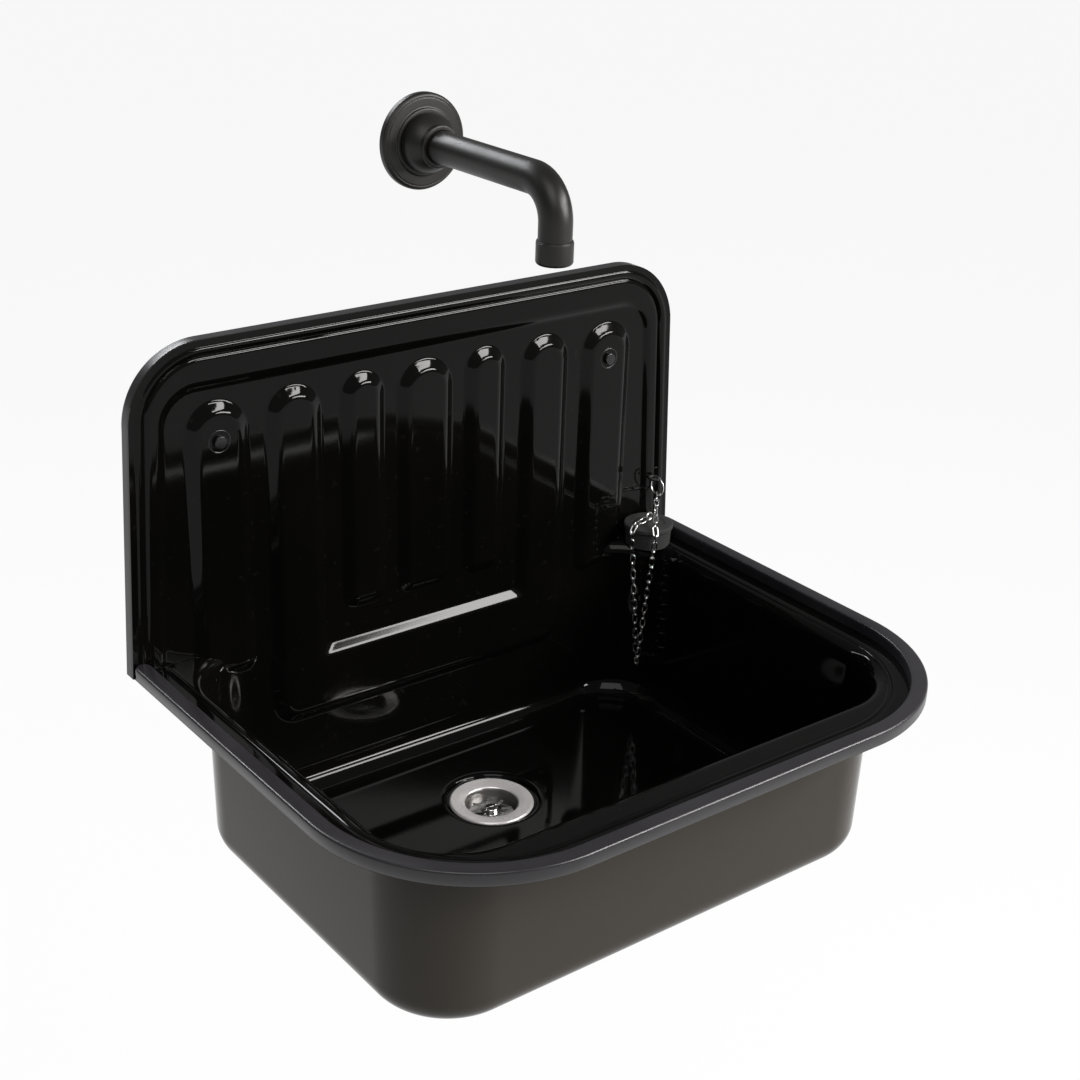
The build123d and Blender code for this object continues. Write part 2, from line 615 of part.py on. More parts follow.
def build_waste():
    """Waste: flange and throat, grid, clamping screw, gaskets and threaded body."""
    at_waste = Pos(0, WASTE_Y, 0)
    throat_outer = THROAT_RADIUS + THROAT_WALL
    seat_radius = THROAT_RADIUS - GRID_SEAT
    step_z = WASTE_FLANGE_TOP - WASTE_STEP
    flange = revolved([
        (throat_outer, WASTE_FLANGE_UNDER),
        (WASTE_FLANGE_RADIUS, WASTE_FLANGE_UNDER),
        (WASTE_FLANGE_RADIUS, WASTE_FLANGE_UNDER + WASTE_RIM_HEIGHT),
        (WASTE_FLANGE_RADIUS - WASTE_RIM_WIDTH / 3, WASTE_FLANGE_TOP - WASTE_RIM_DROP),
        (WASTE_FLANGE_RADIUS - WASTE_RIM_WIDTH, WASTE_FLANGE_TOP),
        (WASTE_LIP_RADIUS + WASTE_RIM_WIDTH / 3, WASTE_FLANGE_TOP - WASTE_DISH_DROP),
        (WASTE_LIP_RADIUS - WASTE_LIP_ROUND, step_z + WASTE_RIM_DROP),
        (WASTE_LIP_RADIUS - WASTE_LIP_ROUND * 2, step_z),
        (WASTE_MOUTH_RADIUS + WASTE_MOUTH_ROUND, step_z),
        (WASTE_MOUTH_RADIUS, step_z - WASTE_MOUTH_ROUND),
        (THROAT_RADIUS, step_z - WASTE_CONE),
        (THROAT_RADIUS, THROAT_END + GRID_SEAT),
        (seat_radius, THROAT_END + GRID_SEAT),
        (seat_radius, THROAT_END),
        (throat_outer, THROAT_END),
    ])
    grid = tube(THROAT_RADIUS - GRID_CENTRE_GAP, WASTE_SCREW_RADIUS + GRID_CENTRE_GAP,
                GRID_TOP - GRID_THICKNESS, GRID_TOP)
    slot_length = GRID_SLOT_END - GRID_SLOT_START
    slot = extrude(SlotOverall(slot_length, GRID_SLOT_WIDTH), amount=GRID_THICKNESS * 2, both=True)
    for turn in PolarLocations(0, GRID_SLOTS, start_angle=360 / GRID_SLOTS / 2):
        grid -= Pos(0, 0, GRID_TOP) * turn * Pos((GRID_SLOT_START + GRID_SLOT_END) / 2, 0, 0) * slot
    screw = tube(WASTE_SCREW_RADIUS, 0, GRID_TOP - WASTE_SCREW_LENGTH, GRID_TOP)
    head = tube(WASTE_SCREW_HEAD_RADIUS, 0, GRID_TOP, GRID_TOP + WASTE_SCREW_HEAD_HEIGHT)
    head = fillet(head.edges().group_by(Axis.Z)[-1], WASTE_SCREW_HEAD_ROUND)
    drive = Pos(0, 0, GRID_TOP + WASTE_SCREW_HEAD_HEIGHT) * Box(
        WASTE_SCREW_HEAD_RADIUS * 3, WASTE_SCREW_SLOT_WIDTH, WASTE_SCREW_SLOT_DEPTH * 2)
    screw += head - drive
    upper = tube(WASTE_FLANGE_RADIUS - WASTE_RIM_WIDTH / 3, FLOOR_HOLE_RADIUS,
                 RECESS_TOP, WASTE_FLANGE_UNDER)
    lower = tube(GASKET_RADIUS, FLOOR_HOLE_RADIUS, WASTE_BODY_TOP, RECESS_UNDER)
    bore = throat_outer + GRID_CENTRE_GAP * 2
    body_low = WASTE_BODY_TOP - WASTE_BODY_LENGTH
    body = tube(WASTE_THREAD_RADIUS, bore, body_low, WASTE_BODY_TOP)
    body += tube(GASKET_RADIUS, bore, WASTE_BODY_TOP - WASTE_BODY_FLANGE, WASTE_BODY_TOP)
    boss_top = WASTE_BODY_TOP - WASTE_BOSS_DROP
    boss_low = boss_top - WASTE_BOSS_HEIGHT
    boss = tube(WASTE_BOSS_RADIUS, 0, boss_low, boss_top)
    arm_length = (bore + WASTE_ARM_ROOT) * 2
    for angle in (0, 90):
        boss += Pos(0, 0, (boss_low + boss_top) / 2) * Rot(0, 0, angle) * Box(
            arm_length, WASTE_ARM_WIDTH, WASTE_BOSS_HEIGHT)
    body += boss - tube(WASTE_SCREW_RADIUS + WASTE_THREAD_GAP, 0, boss_low - 1, boss_top + 1)
    return {
        "waste_flange": at_waste * flange,
        "waste_grid": at_waste * grid,
        "waste_screw": at_waste * screw,
        "upper_gasket": at_waste * upper,
        "lower_gasket": at_waste * lower,
        "waste_body": at_waste * body,
    }


def wire_ring(radius, wire, gap_degrees=0.0):
    """Ring of round wire about Z, closed, or open by a gap centred on the X axis."""
    if gap_degrees == 0:
        return Torus(radius, wire)
    section = Plane(origin=(radius, 0, 0), z_dir=(0, 1, 0)) * Circle(wire)
    turned = Rot(0, 0, gap_degrees / 2) * section
    return revolve(turned, Axis.Z, revolution_arc=360 - gap_degrees)


def build_plug():
    """Rubber plug with its hollow underside, and the wire eye moulded into its top."""
    hollow_top = PLUG_FOOT + PLUG_HOLLOW_DEPTH
    lip_low = PLUG_TOP - PLUG_LIP
    body = revolved([
        (PLUG_HOLLOW_RADIUS, PLUG_FOOT),
        (PLUG_FOOT_RADIUS - PLUG_FOOT_EDGE, PLUG_FOOT),
        (PLUG_FOOT_RADIUS, PLUG_FOOT + PLUG_FOOT_EDGE),
        (PLUG_WAIST_RADIUS, lip_low),
        (PLUG_TOP_RADIUS, lip_low + PLUG_EDGE / 2),
        (PLUG_TOP_RADIUS, PLUG_TOP - PLUG_EDGE),
        (PLUG_TOP_RADIUS - PLUG_EDGE, PLUG_TOP),
        (0, PLUG_TOP),
        (0, hollow_top),
        (PLUG_HOLLOW_RADIUS - PLUG_HOLLOW_TAPER, hollow_top),
    ])
    stem_low = PLUG_TOP - PLUG_EYE_STEM_DEPTH
    body -= tube(PLUG_EYE_STEM + HOLE_CLEARANCE / 8, 0, stem_low, PLUG_TOP + 1)
    ring = Pos(0, 0, EYE_HEIGHT) * Rot(90, 0, 0) * wire_ring(PLUG_EYE_RADIUS, PLUG_EYE_WIRE)
    stem = tube(PLUG_EYE_STEM, 0, stem_low, EYE_HEIGHT - PLUG_EYE_RADIUS)
    eye = Rot(0, 0, 90 - REAR_STRAND_ANGLE) * (ring + stem)
    at_plug = Pos(PLUG_X, PLUG_Y, 0)
    return {"plug_body": at_plug * body, "plug_eye": at_plug * eye}


def plug_point(angle, reach, height):
    """Point at a distance from the plug's axis, at an angle from the -Y direction towards -X."""
    turn = math.radians(angle)
    return Vector(PLUG_X - reach * math.sin(turn), PLUG_Y - reach * math.cos(turn), height)


def chain_points():
    """Joint points of the chain, from the ring over the plug, down the loop and to the hook."""
    hang = CHAIN_HEIGHT - math.sqrt(CHAIN_PITCH ** 2 - (STRAND_REACH - CORNER_REACH) ** 2)
    front_corner = plug_point(FRONT_STRAND_ANGLE, CORNER_REACH, CHAIN_HEIGHT)
    front_hang = plug_point(FRONT_STRAND_ANGLE, STRAND_REACH, hang)
    rear_hang = plug_point(REAR_STRAND_ANGLE, STRAND_REACH, hang)
    half_link = loop_direction() * ((LINK_INSIDE + CHAIN_WIRE) / 2)
    middle = (front_hang + rear_hang) / 2
    spread = (front_hang - middle + half_link).length
    drop = math.sqrt((LOOP_LINKS * CHAIN_PITCH) ** 2 - spread ** 2)
    bottom = middle - Vector(0, 0, drop)
    ring_foot = Vector(STAY_X, -RING_OUT, RING_Z - RING_RADIUS)
    slack = (ring_foot - front_corner).normalized() * LEAD_END_PLAY
    return {
        "ring_foot": ring_foot,
        "lead_end": front_corner + slack,
        "front_corner": front_corner,
        "front_hang": front_hang,
        "front_bottom": bottom - half_link,
        "rear_bottom": bottom + half_link,
        "rear_hang": rear_hang,
        "rear_corner": plug_point(REAR_STRAND_ANGLE, CORNER_REACH, CHAIN_HEIGHT),
        "rear_turn": plug_point(REAR_STRAND_ANGLE, CORNER_REACH + CHAIN_PLAY * 1.5, CHAIN_HEIGHT),
        "hook_end": plug_point(REAR_STRAND_ANGLE, CORNER_REACH - CHAIN_PITCH, CHAIN_HEIGHT),
        "eye_side": plug_point(REAR_STRAND_ANGLE, PLUG_EYE_RADIUS - PLUG_EYE_WIRE, EYE_HEIGHT),
    }


def loop_direction():
    """Level direction in which the link at the bottom of the loop lies."""
    turn = math.radians(LOOP_ANGLE)
    return Vector(math.sin(turn), math.cos(turn), 0)


def oval_ring(inner_length, width, wire):
    """One closed oval of round wire, long along Z and wide along X, centred on the origin."""
    radius = wire / 2
    turn = width / 2 - radius
    half = inner_length / 2 + radius - turn
    section = Pos(turn, 0, 0) * Circle(radius)
    side = extrude(section, amount=half, both=True)
    bend = revolve(Pos(turn, 0, half) * Circle(radius), Axis((0, 0, half), (0, -1, 0)), revolution_arc=180)
    arch = side + bend
    return arch + Rot(0, 180, 0) * arch


def link_between(start, end, turned, facing, start_play=0.0):
    """One link between two joint points, flat to a facing direction or turned a quarter turn."""
    along = (end - start).normalized()
    across = along.cross(facing).normalized()
    inside = (end - start).length + LINK_INSIDE - CHAIN_PITCH + start_play
    link = oval_ring(inside, CHAIN_WIDTH, CHAIN_WIRE)
    frame = Plane(origin=(start + end) / 2 - along * (start_play / 2), x_dir=across, z_dir=along)
    return Location(frame) * Rot(0, 0, 90 if turned else 0) * link


def run_of_links(start, end, count, facing, end_facing, start_play=0.0):
    """A straight run of links that begins turned, turns a quarter each time and twists slowly."""
    step = (end - start) / count
    links = []
    for i in range(count):
        share = i / (count - 1)
        face = facing * (1 - share) + end_facing * share
        play = start_play if i == 0 else 0.0
        links.append(link_between(start + step * i, start + step * (i + 1), i % 2 == 0, face, play))
    return links


def build_chain():
    """Chain in groups that move together: lead, links over the plug, two strands, and the hook."""
    at = chain_points()
    up = Vector(0, 0, 1)
    centre = Vector(PLUG_X, PLUG_Y, 0)
    lead_side = (at["lead_end"] - at["ring_foot"]).cross(up).normalized()
    lead = run_of_links(at["ring_foot"], at["lead_end"], LEAD_LINKS, up, lead_side, RING_LINK_PLAY)
    over_plug = [
        link_between(at["front_corner"], at["front_hang"], False, up),
        link_between(at["rear_corner"], at["rear_hang"], False, up),
        link_between(at["rear_turn"], at["hook_end"], True, up),
    ]
    strands = []
    for side in ("front", "rear"):
        hang = at[side + "_hang"]
        inward = (centre - Vector(hang.X, hang.Y, 0)).normalized()
        strands.append(run_of_links(hang, at[side + "_bottom"], LOOP_LINKS, inward, loop_direction()))
    bottom_frame = Plane(
        origin=(at["front_bottom"] + at["rear_bottom"]) / 2 + up * (CHAIN_WIRE / 2 - CHAIN_PLAY),
        x_dir=loop_direction().cross(up), z_dir=loop_direction())
    strands[0].append(Location(bottom_frame) * oval_ring(LINK_INSIDE, CHAIN_WIDTH, CHAIN_WIRE))
    return {
        "chain_lead": Compound(lead),
        "chain_over_plug": Compound(over_plug),
        "chain_front_strand": Compound(strands[0]),
        "chain_rear_strand": Compound(strands[1]),
        "chain_hook": build_hook(at["hook_end"], at["eye_side"]),
    }


def build_hook(start, end):
    """Open hook from the chain's last link to the plug's eye."""
    along = (end - start).normalized()
    inside = (end - start).length + CHAIN_WIRE / 2 + PLUG_EYE_WIRE
    slit = Pos(HOOK_WIDTH / 2, 0, HOOK_OPENING) * Box(HOOK_WIRE * 3, HOOK_WIRE * 3, HOOK_OPENING)
    frame = Plane(origin=(start + end) / 2, x_dir=along.cross(Vector(0, 0, 1)), z_dir=along)
    return Location(frame) * (oval_ring(inside, HOOK_WIDTH, HOOK_WIRE) - slit)


def build_stay():
    """Chain stay: eye on a stud through the splashback, its nut behind, and the open ring."""
    base = tube(STAY_BASE_RADIUS, 0, BAND_FACE, BAND_FACE + STAY_BASE_HEIGHT)
    base = fillet(base.edges().group_by(Axis.Z)[-1], STAY_BASE_HEIGHT / 2)
    shank = tube(STAY_SHANK_RADIUS, 0, STAND_OFF - STAY_NUT_HEIGHT - STAY_SHANK_END, BAND_FACE)
    eye = Pos(0, 0, STAY_EYE_OUT) * Rot(90, 0, 0) * wire_ring(STAY_EYE_RADIUS, STAY_EYE_WIRE)
    nut = extrude(RegularPolygon(STAY_NUT_WIDTH / 2, 6, major_radius=False), amount=STAY_NUT_HEIGHT)
    nut -= tube(STAY_SHANK_RADIUS + HOLE_CLEARANCE / 8, 0, -1, STAY_NUT_HEIGHT + 1)
    nut = Pos(0, 0, STAND_OFF - STAY_NUT_HEIGHT) * nut
    ring = Rot(0, 90, 0) * wire_ring(RING_RADIUS, RING_WIRE, RING_OPENING)
    ring = Pos(STAY_X, -RING_OUT, RING_Z) * Rot(RING_OPENING_TURN, 0, 0) * ring
    return {
        "stay_eye": stay_axis() * (base + shank + eye),
        "stay_nut": stay_axis() * nut,
        "stay_ring": ring,
    }


def build_spout():
    """Wall spout: rose, collar, nipple, seals, bent tube, grub screw and aerator."""
    at_wall = Location(Plane(origin=(0, 0, SPOUT_Z), x_dir=(1, 0, 0), z_dir=(0, -1, 0)))
    rose = revolved([
        (ROSE_HOLE_RADIUS, 0),
        (ROSE_RADIUS - ROSE_EDGE, 0),
        (ROSE_RADIUS, ROSE_EDGE),
        (ROSE_RADIUS, ROSE_THICKNESS - ROSE_BEVEL_HEIGHT),
        (ROSE_RADIUS - ROSE_BEVEL_DRAFT, ROSE_THICKNESS - ROSE_BEVEL_DRAFT),
        (ROSE_RADIUS - ROSE_BEVEL_WIDTH, ROSE_THICKNESS),
        (ROSE_STEP_RADIUS, ROSE_THICKNESS),
        (ROSE_STEP_RADIUS, ROSE_FACE - ROSE_STEP_EDGE),
        (ROSE_STEP_RADIUS - ROSE_STEP_EDGE, ROSE_FACE),
        (ROSE_HOLE_RADIUS, ROSE_FACE),
    ])
    socket_floor = ROSE_FACE + COLLAR_LENGTH + COLLAR_LIP - SPOUT_SOCKET
    collar_end = ROSE_FACE + COLLAR_LENGTH
    nipple_hole = NIPPLE_RADIUS + NIPPLE_CLEARANCE
    socket = SPOUT_TUBE_RADIUS + NIPPLE_CLEARANCE
    lip_end = collar_end + COLLAR_LIP
    bell = Spline(
        (COLLAR_RADIUS, 0, ROSE_FACE + COLLAR_SKIRT),
        (COLLAR_RADIUS - COLLAR_WAIST, 0, ROSE_FACE + COLLAR_LENGTH / 2),
        (COLLAR_LIP_RADIUS - COLLAR_LIP_STEP, 0, collar_end - COLLAR_EDGE),
    )
    outline = make_face([
        bell,
        Polyline(
            bell @ 1, (COLLAR_LIP_RADIUS, 0, collar_end),
            (COLLAR_LIP_RADIUS, 0, lip_end - COLLAR_LIP_EDGE), (COLLAR_LIP_RADIUS - COLLAR_LIP_EDGE, 0, lip_end),
            (socket, 0, lip_end), (socket, 0, socket_floor),
            (nipple_hole, 0, socket_floor), (nipple_hole, 0, ROSE_FACE),
            (COLLAR_RADIUS - COLLAR_EDGE, 0, ROSE_FACE), (COLLAR_RADIUS, 0, ROSE_FACE + COLLAR_EDGE), bell @ 0,
        ),
    ])
    collar = revolve(outline, Axis.Z)
    grub_out = ROSE_FACE + SPOUT_SOCKET / 2
    grub_top = nipple_hole + GRUB_LENGTH
    grub_frame = Pos(0, 0, grub_out) * Rot(90, 0, 0)
    collar -= grub_frame * tube(GRUB_RADIUS + GRUB_CLEARANCE, 0, 0, COLLAR_RADIUS * 1.5)
    grub = tube(GRUB_RADIUS, 0, nipple_hole, grub_top)
    grub -= Pos(0, 0, grub_top) * Box(GRUB_DRIVE_WIDTH, GRUB_DRIVE_WIDTH, GRUB_DRIVE_DEPTH * 2)
    grub = grub_frame * grub
    nipple = tube(NIPPLE_RADIUS, NIPPLE_BORE, -THREAD_START, socket_floor - NIPPLE_END_GAP)
    nipple += tube(NIPPLE_THREAD_RADIUS, NIPPLE_BORE, -NIPPLE_INTO_WALL, -THREAD_START)
    seal_wire = (ROSE_HOLE_RADIUS - NIPPLE_RADIUS) / 2
    seal = Pos(0, 0, ROSE_THICKNESS / 2) * wire_ring(NIPPLE_RADIUS + seal_wire, seal_wire)
    return {
        "spout_rose": at_wall * rose,
        "spout_collar": at_wall * collar,
        "spout_grub_screw": at_wall * grub,
        "spout_nipple": at_wall * nipple,
        "spout_o_ring": at_wall * seal,
        **build_tube_and_aerator(socket_floor),
    }


def build_tube_and_aerator(tube_start):
    """Bent spout tube with its threaded end, and the aerator that screws onto it."""
    tube_low = SPOUT_OUTLET_Z + AERATOR_LIP + AERATOR_INSERT_HEIGHT + AERATOR_SEAL_HEIGHT
    shoulder = SPOUT_OUTLET_Z + AERATOR_HEIGHT
    corner = (0, -SPOUT_REACH, SPOUT_Z)
    path = FilletPolyline(
        (0, -tube_start, SPOUT_Z), corner, (0, -SPOUT_REACH, tube_low), radius=SPOUT_BEND_RADIUS)
    bore = SPOUT_TUBE_RADIUS - SPOUT_TUBE_WALL
    start = Plane(origin=(0, -tube_start, SPOUT_Z), z_dir=(0, -1, 0))
    spout = sweep(start * Circle(SPOUT_TUBE_RADIUS), path=path)
    spout -= sweep(start * Circle(bore), path=path)
    at_outlet = Pos(0, -SPOUT_REACH, 0)
    spout -= at_outlet * tube(SPOUT_TUBE_RADIUS * 1.5, AERATOR_THREAD_RADIUS, tube_low - 1, shoulder)
    thread_hole = AERATOR_THREAD_RADIUS + AERATOR_THREAD_GAP
    lip_top = SPOUT_OUTLET_Z + AERATOR_LIP
    housing = revolved([
        (AERATOR_LIP_RADIUS, SPOUT_OUTLET_Z),
        (AERATOR_RADIUS - AERATOR_EDGE, SPOUT_OUTLET_Z),
        (AERATOR_RADIUS, SPOUT_OUTLET_Z + AERATOR_EDGE),
        (AERATOR_RADIUS, shoulder - AERATOR_TOP_EDGE),
        (AERATOR_RADIUS - AERATOR_TOP_EDGE, shoulder),
        (thread_hole, shoulder),
        (thread_hole, lip_top),
        (AERATOR_LIP_RADIUS, lip_top),
    ])
    insert = tube(AERATOR_THREAD_RADIUS - AERATOR_THREAD_GAP, 0, lip_top, lip_top + AERATOR_INSERT_HEIGHT)
    for ring in range(AERATOR_HOLE_RINGS):
        for spot in PolarLocations(ring * AERATOR_HOLE_PITCH, max(1, ring * AERATOR_HOLES_A_RING)):
            insert -= spot * tube(AERATOR_HOLE_RADIUS, 0, SPOUT_OUTLET_Z, shoulder)
    seal_low = lip_top + AERATOR_INSERT_HEIGHT
    seal = tube(AERATOR_THREAD_RADIUS - AERATOR_THREAD_GAP,
                AERATOR_THREAD_RADIUS - AERATOR_SEAL_WIDTH, seal_low, seal_low + AERATOR_SEAL_HEIGHT)
    return {
        "spout_tube": spout,
        "aerator_housing": at_outlet * housing,
        "aerator_insert": at_outlet * insert,
        "aerator_seal": at_outlet * seal,
    }


def node_map():
    """Every node of the sink, by name."""
    nodes = {
        "basin_shell": build_basin(),
        "splashback": build_splashback(),
        "rim_edge_strip": build_rim_strip(),
        "splashback_edge_strip": build_splash_strip(),
    }
    nodes.update(build_fixings())
    nodes.update(build_waste())
    nodes.update(build_plug())
    nodes.update(build_chain())
    nodes.update(build_stay())
    nodes.update(build_spout())
    return nodes


os.makedirs("parts", exist_ok=True)
for name, shape in node_map().items():
    export_step(ORIGIN_SHIFT * shape, f"parts/{name}.step")
    print(name, len(shape.solids()), round(sum(s.volume for s in shape.solids()), 1))
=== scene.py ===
"""Looks for a wall-hung utility sink of black enamelled steel, with its waste, plug, chain and wall spout.

Lengths of the object's pieces are in millimetres, with heights measured from the top of the rim. Each
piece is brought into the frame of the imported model, in metres, when its mesh is made. The studio and
the finishes work in metres.
"""

import logging
import math
from collections.abc import Sequence
from dataclasses import dataclass, field
from enum import Enum

import bmesh
import bpy
import numpy as np
from mathutils import Matrix, Vector


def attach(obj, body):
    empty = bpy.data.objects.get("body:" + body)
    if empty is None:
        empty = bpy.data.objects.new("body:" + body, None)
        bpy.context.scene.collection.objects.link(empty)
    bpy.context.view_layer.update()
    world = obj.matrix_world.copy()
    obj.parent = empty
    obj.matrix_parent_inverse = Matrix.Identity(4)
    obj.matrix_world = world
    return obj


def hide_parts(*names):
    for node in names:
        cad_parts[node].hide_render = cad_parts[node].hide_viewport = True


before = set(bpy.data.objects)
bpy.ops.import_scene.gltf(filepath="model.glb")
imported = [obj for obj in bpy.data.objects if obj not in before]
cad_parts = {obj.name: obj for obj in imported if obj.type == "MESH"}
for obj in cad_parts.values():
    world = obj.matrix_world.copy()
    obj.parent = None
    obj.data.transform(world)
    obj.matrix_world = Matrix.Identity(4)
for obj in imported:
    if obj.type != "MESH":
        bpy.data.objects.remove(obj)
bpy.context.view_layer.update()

LOG = logging.getLogger("utility_sink")
BACK_AND_SHADE_MARK = "back_side_and_painted_shade"
MIRROR = np.array([-1.0, 1.0, 1.0])
# Noise levels between which a finish goes over to its second tone, its higher roughness or its specks.
TONE_BAND = (0.38, 0.66)
GLOSS_BAND = (0.3, 0.7)
SPECK_BAND = (0.70, 0.76)
# Waves of the specks for each wave of the fine relief.
SPECK_SHARE = 0.7
# Radius in millimetres at which a turned profile stops short of its axis, which leaves a pinhole there.
POLE = 0.01
Colour = tuple[float, float, float]
Point = tuple[float, float, float]
Profile = Sequence[tuple[float, float]]


@dataclass(frozen=True)
class RowFrame:
    """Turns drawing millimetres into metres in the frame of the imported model."""

    metres_per_mm: float = 0.001
    rim_height: float = -0.1585

    def place(self, points: np.ndarray) -> np.ndarray:
        """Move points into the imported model's frame.

        Args:
            points: Array of points in millimetres, with heights from the rim.

        Returns:
            The same points in metres, with heights from the origin.
        """
        placed = np.asarray(points, float) * self.metres_per_mm
        placed[..., 2] += self.rim_height
        return placed


ROW = RowFrame()


class Grain(Enum):
    """How the fine relief of a finish runs."""

    EVEN = "even"
    TURNED = "turned"
    DRAWN = "drawn"


class LampFace(Enum):
    """Outline of a soft lamp's face."""

    RECTANGLE = "RECTANGLE"
    ELLIPSE = "ELLIPSE"


@dataclass(frozen=True)
class Finish:
    """A procedural finish: two mixed tones, uneven gloss and a fine relief.

    Attributes:
        name: Name of the material.
        tone: Main colour.
        shade: Colour that the main one drifts to.
        gloss: Lowest and highest roughness.
        metallic: Share of bare metal.
        specular: Level of the surface reflection.
        drift_scale: Size of the colour drift, in waves per metre.
        grain_scale: Size of the fine relief, in waves per metre.
        grain_depth: Depth of the fine relief in metres.
        grain: How the fine relief runs.
        speck: Share of pale dust specks.
        back_and_shade_tone: Colour at the marked points: the back side of the enamel sheet, and painted shade down
            the waste's throat.
    """

    name: str
    tone: Colour
    shade: Colour
    gloss: tuple[float, float]
    metallic: float = 0.0
    specular: float = 0.5
    drift_scale: float = 12.0
    grain_scale: float = 900.0
    grain_depth: float = 0.00002
    grain: Grain = Grain.EVEN
    speck: float = 0.0
    back_and_shade_tone: Colour | None = None

    def make(self) -> bpy.types.Material:
        """Build the material, or return it if it is there already.

        Returns:
            The material of this finish.
        """
        known = bpy.data.materials.get(self.name)
        if known is not None:
            return known
        material = bpy.data.materials.new(self.name)
        material.use_nodes = True
        tree = material.node_tree
        shader = tree.nodes["Principled BSDF"]
        shader.inputs["Metallic"].default_value = self.metallic
        shader.inputs["Specular IOR Level"].default_value = self.specular
        place = tree.nodes.new("ShaderNodeTexCoord").outputs["Object"]
        drift = self._noise(tree, place, self.drift_scale, 4.0)
        self._mix_tones(tree, drift, place, shader)
        self._spread_gloss(tree, drift, shader)
        self._raise_grain(tree, place, shader)
        return material

    def _noise(
        self, tree: bpy.types.NodeTree, place: bpy.types.NodeSocket, scale: float, detail: float
    ) -> bpy.types.NodeSocket:
        """Add a noise texture.

        Args:
            tree: Node tree of the material.
            place: Socket with the coordinates.
            scale: Waves per metre.
            detail: Octaves of detail.

        Returns:
            The socket with the noise value.
        """
        noise = tree.nodes.new("ShaderNodeTexNoise")
        noise.inputs["Scale"].default_value = scale
        noise.inputs["Detail"].default_value = detail
        tree.links.new(place, noise.inputs["Vector"])
        return noise.outputs["Fac"]

    def _mix_tones(
        self,
        tree: bpy.types.NodeTree,
        drift: bpy.types.NodeSocket,
        place: bpy.types.NodeSocket,
        shader: bpy.types.Node,
    ) -> None:
        """Mix the two tones by the drift, and add pale specks.

        Args:
            tree: Node tree of the material.
            drift: Socket with the slow noise.
            place: Socket with the coordinates.
            shader: The principled shader.
        """
        ramp = tree.nodes.new("ShaderNodeValToRGB")
        ramp.color_ramp.elements[0].position = TONE_BAND[0]
        ramp.color_ramp.elements[1].position = TONE_BAND[1]
        ramp.color_ramp.elements[0].color = (*self.tone, 1.0)
        ramp.color_ramp.elements[1].color = (*self.shade, 1.0)
        tree.links.new(drift, ramp.inputs["Fac"])
        colour = ramp.outputs["Color"]
        if self.speck > 0:
            dots = self._noise(tree, place, self.grain_scale * SPECK_SHARE, 1.0)
            pick = tree.nodes.new("ShaderNodeValToRGB")
            pick.color_ramp.elements[0].position = SPECK_BAND[0]
            pick.color_ramp.elements[1].position = SPECK_BAND[1]
            pick.color_ramp.elements[1].color = (self.speck, self.speck, self.speck, 1.0)
            tree.links.new(dots, pick.inputs["Fac"])
            add = tree.nodes.new("ShaderNodeMix")
            add.data_type = "RGBA"
            add.blend_type = "ADD"
            add.inputs["Factor"].default_value = 1.0
            tree.links.new(colour, add.inputs["A"])
            tree.links.new(pick.outputs["Color"], add.inputs["B"])
            colour = add.outputs["Result"]
        # The marked points take the second colour: the enamel's back side, and painted shade down the waste's
        # throat.
        if self.back_and_shade_tone is not None:
            mark = tree.nodes.new("ShaderNodeAttribute")
            mark.attribute_name = BACK_AND_SHADE_MARK
            swap = tree.nodes.new("ShaderNodeMix")
            swap.data_type = "RGBA"
            swap.inputs["B"].default_value = (*self.back_and_shade_tone, 1.0)
            tree.links.new(mark.outputs["Fac"], swap.inputs["Factor"])
            tree.links.new(colour, swap.inputs["A"])
            colour = swap.outputs["Result"]
        tree.links.new(colour, shader.inputs["Base Color"])

    def _spread_gloss(
        self, tree: bpy.types.NodeTree, drift: bpy.types.NodeSocket, shader: bpy.types.Node
    ) -> None:
        """Let the roughness follow the drift.

        Args:
            tree: Node tree of the material.
            drift: Socket with the slow noise.
            shader: The principled shader.
        """
        spread = tree.nodes.new("ShaderNodeMapRange")
        spread.inputs["From Min"].default_value = GLOSS_BAND[0]
        spread.inputs["From Max"].default_value = GLOSS_BAND[1]
        spread.inputs["To Min"].default_value = self.gloss[0]
        spread.inputs["To Max"].default_value = self.gloss[1]
        tree.links.new(drift, spread.inputs["Value"])
        tree.links.new(spread.outputs["Result"], shader.inputs["Roughness"])

    def _raise_grain(
        self, tree: bpy.types.NodeTree, place: bpy.types.NodeSocket, shader: bpy.types.Node
    ) -> None:
        """Give the surface its fine relief.

        Args:
            tree: Node tree of the material.
            place: Socket with the coordinates.
            shader: The principled shader.
        """
        stretch = {
            Grain.EVEN: (1.0, 1.0, 1.0),
            Grain.TURNED: (0.06, 0.06, 1.0),
            Grain.DRAWN: (1.0, 0.04, 1.0),
        }[self.grain]
        mapping = tree.nodes.new("ShaderNodeMapping")
        mapping.inputs["Scale"].default_value = stretch
        tree.links.new(place, mapping.inputs["Vector"])
        height = self._noise(tree, mapping.outputs["Vector"], self.grain_scale, 3.0)
        bump = tree.nodes.new("ShaderNodeBump")
        bump.inputs["Strength"].default_value = 1.0
        bump.inputs["Distance"].default_value = self.grain_depth
        tree.links.new(height, bump.inputs["Height"])
        tree.links.new(bump.outputs["Normal"], shader.inputs["Normal"])


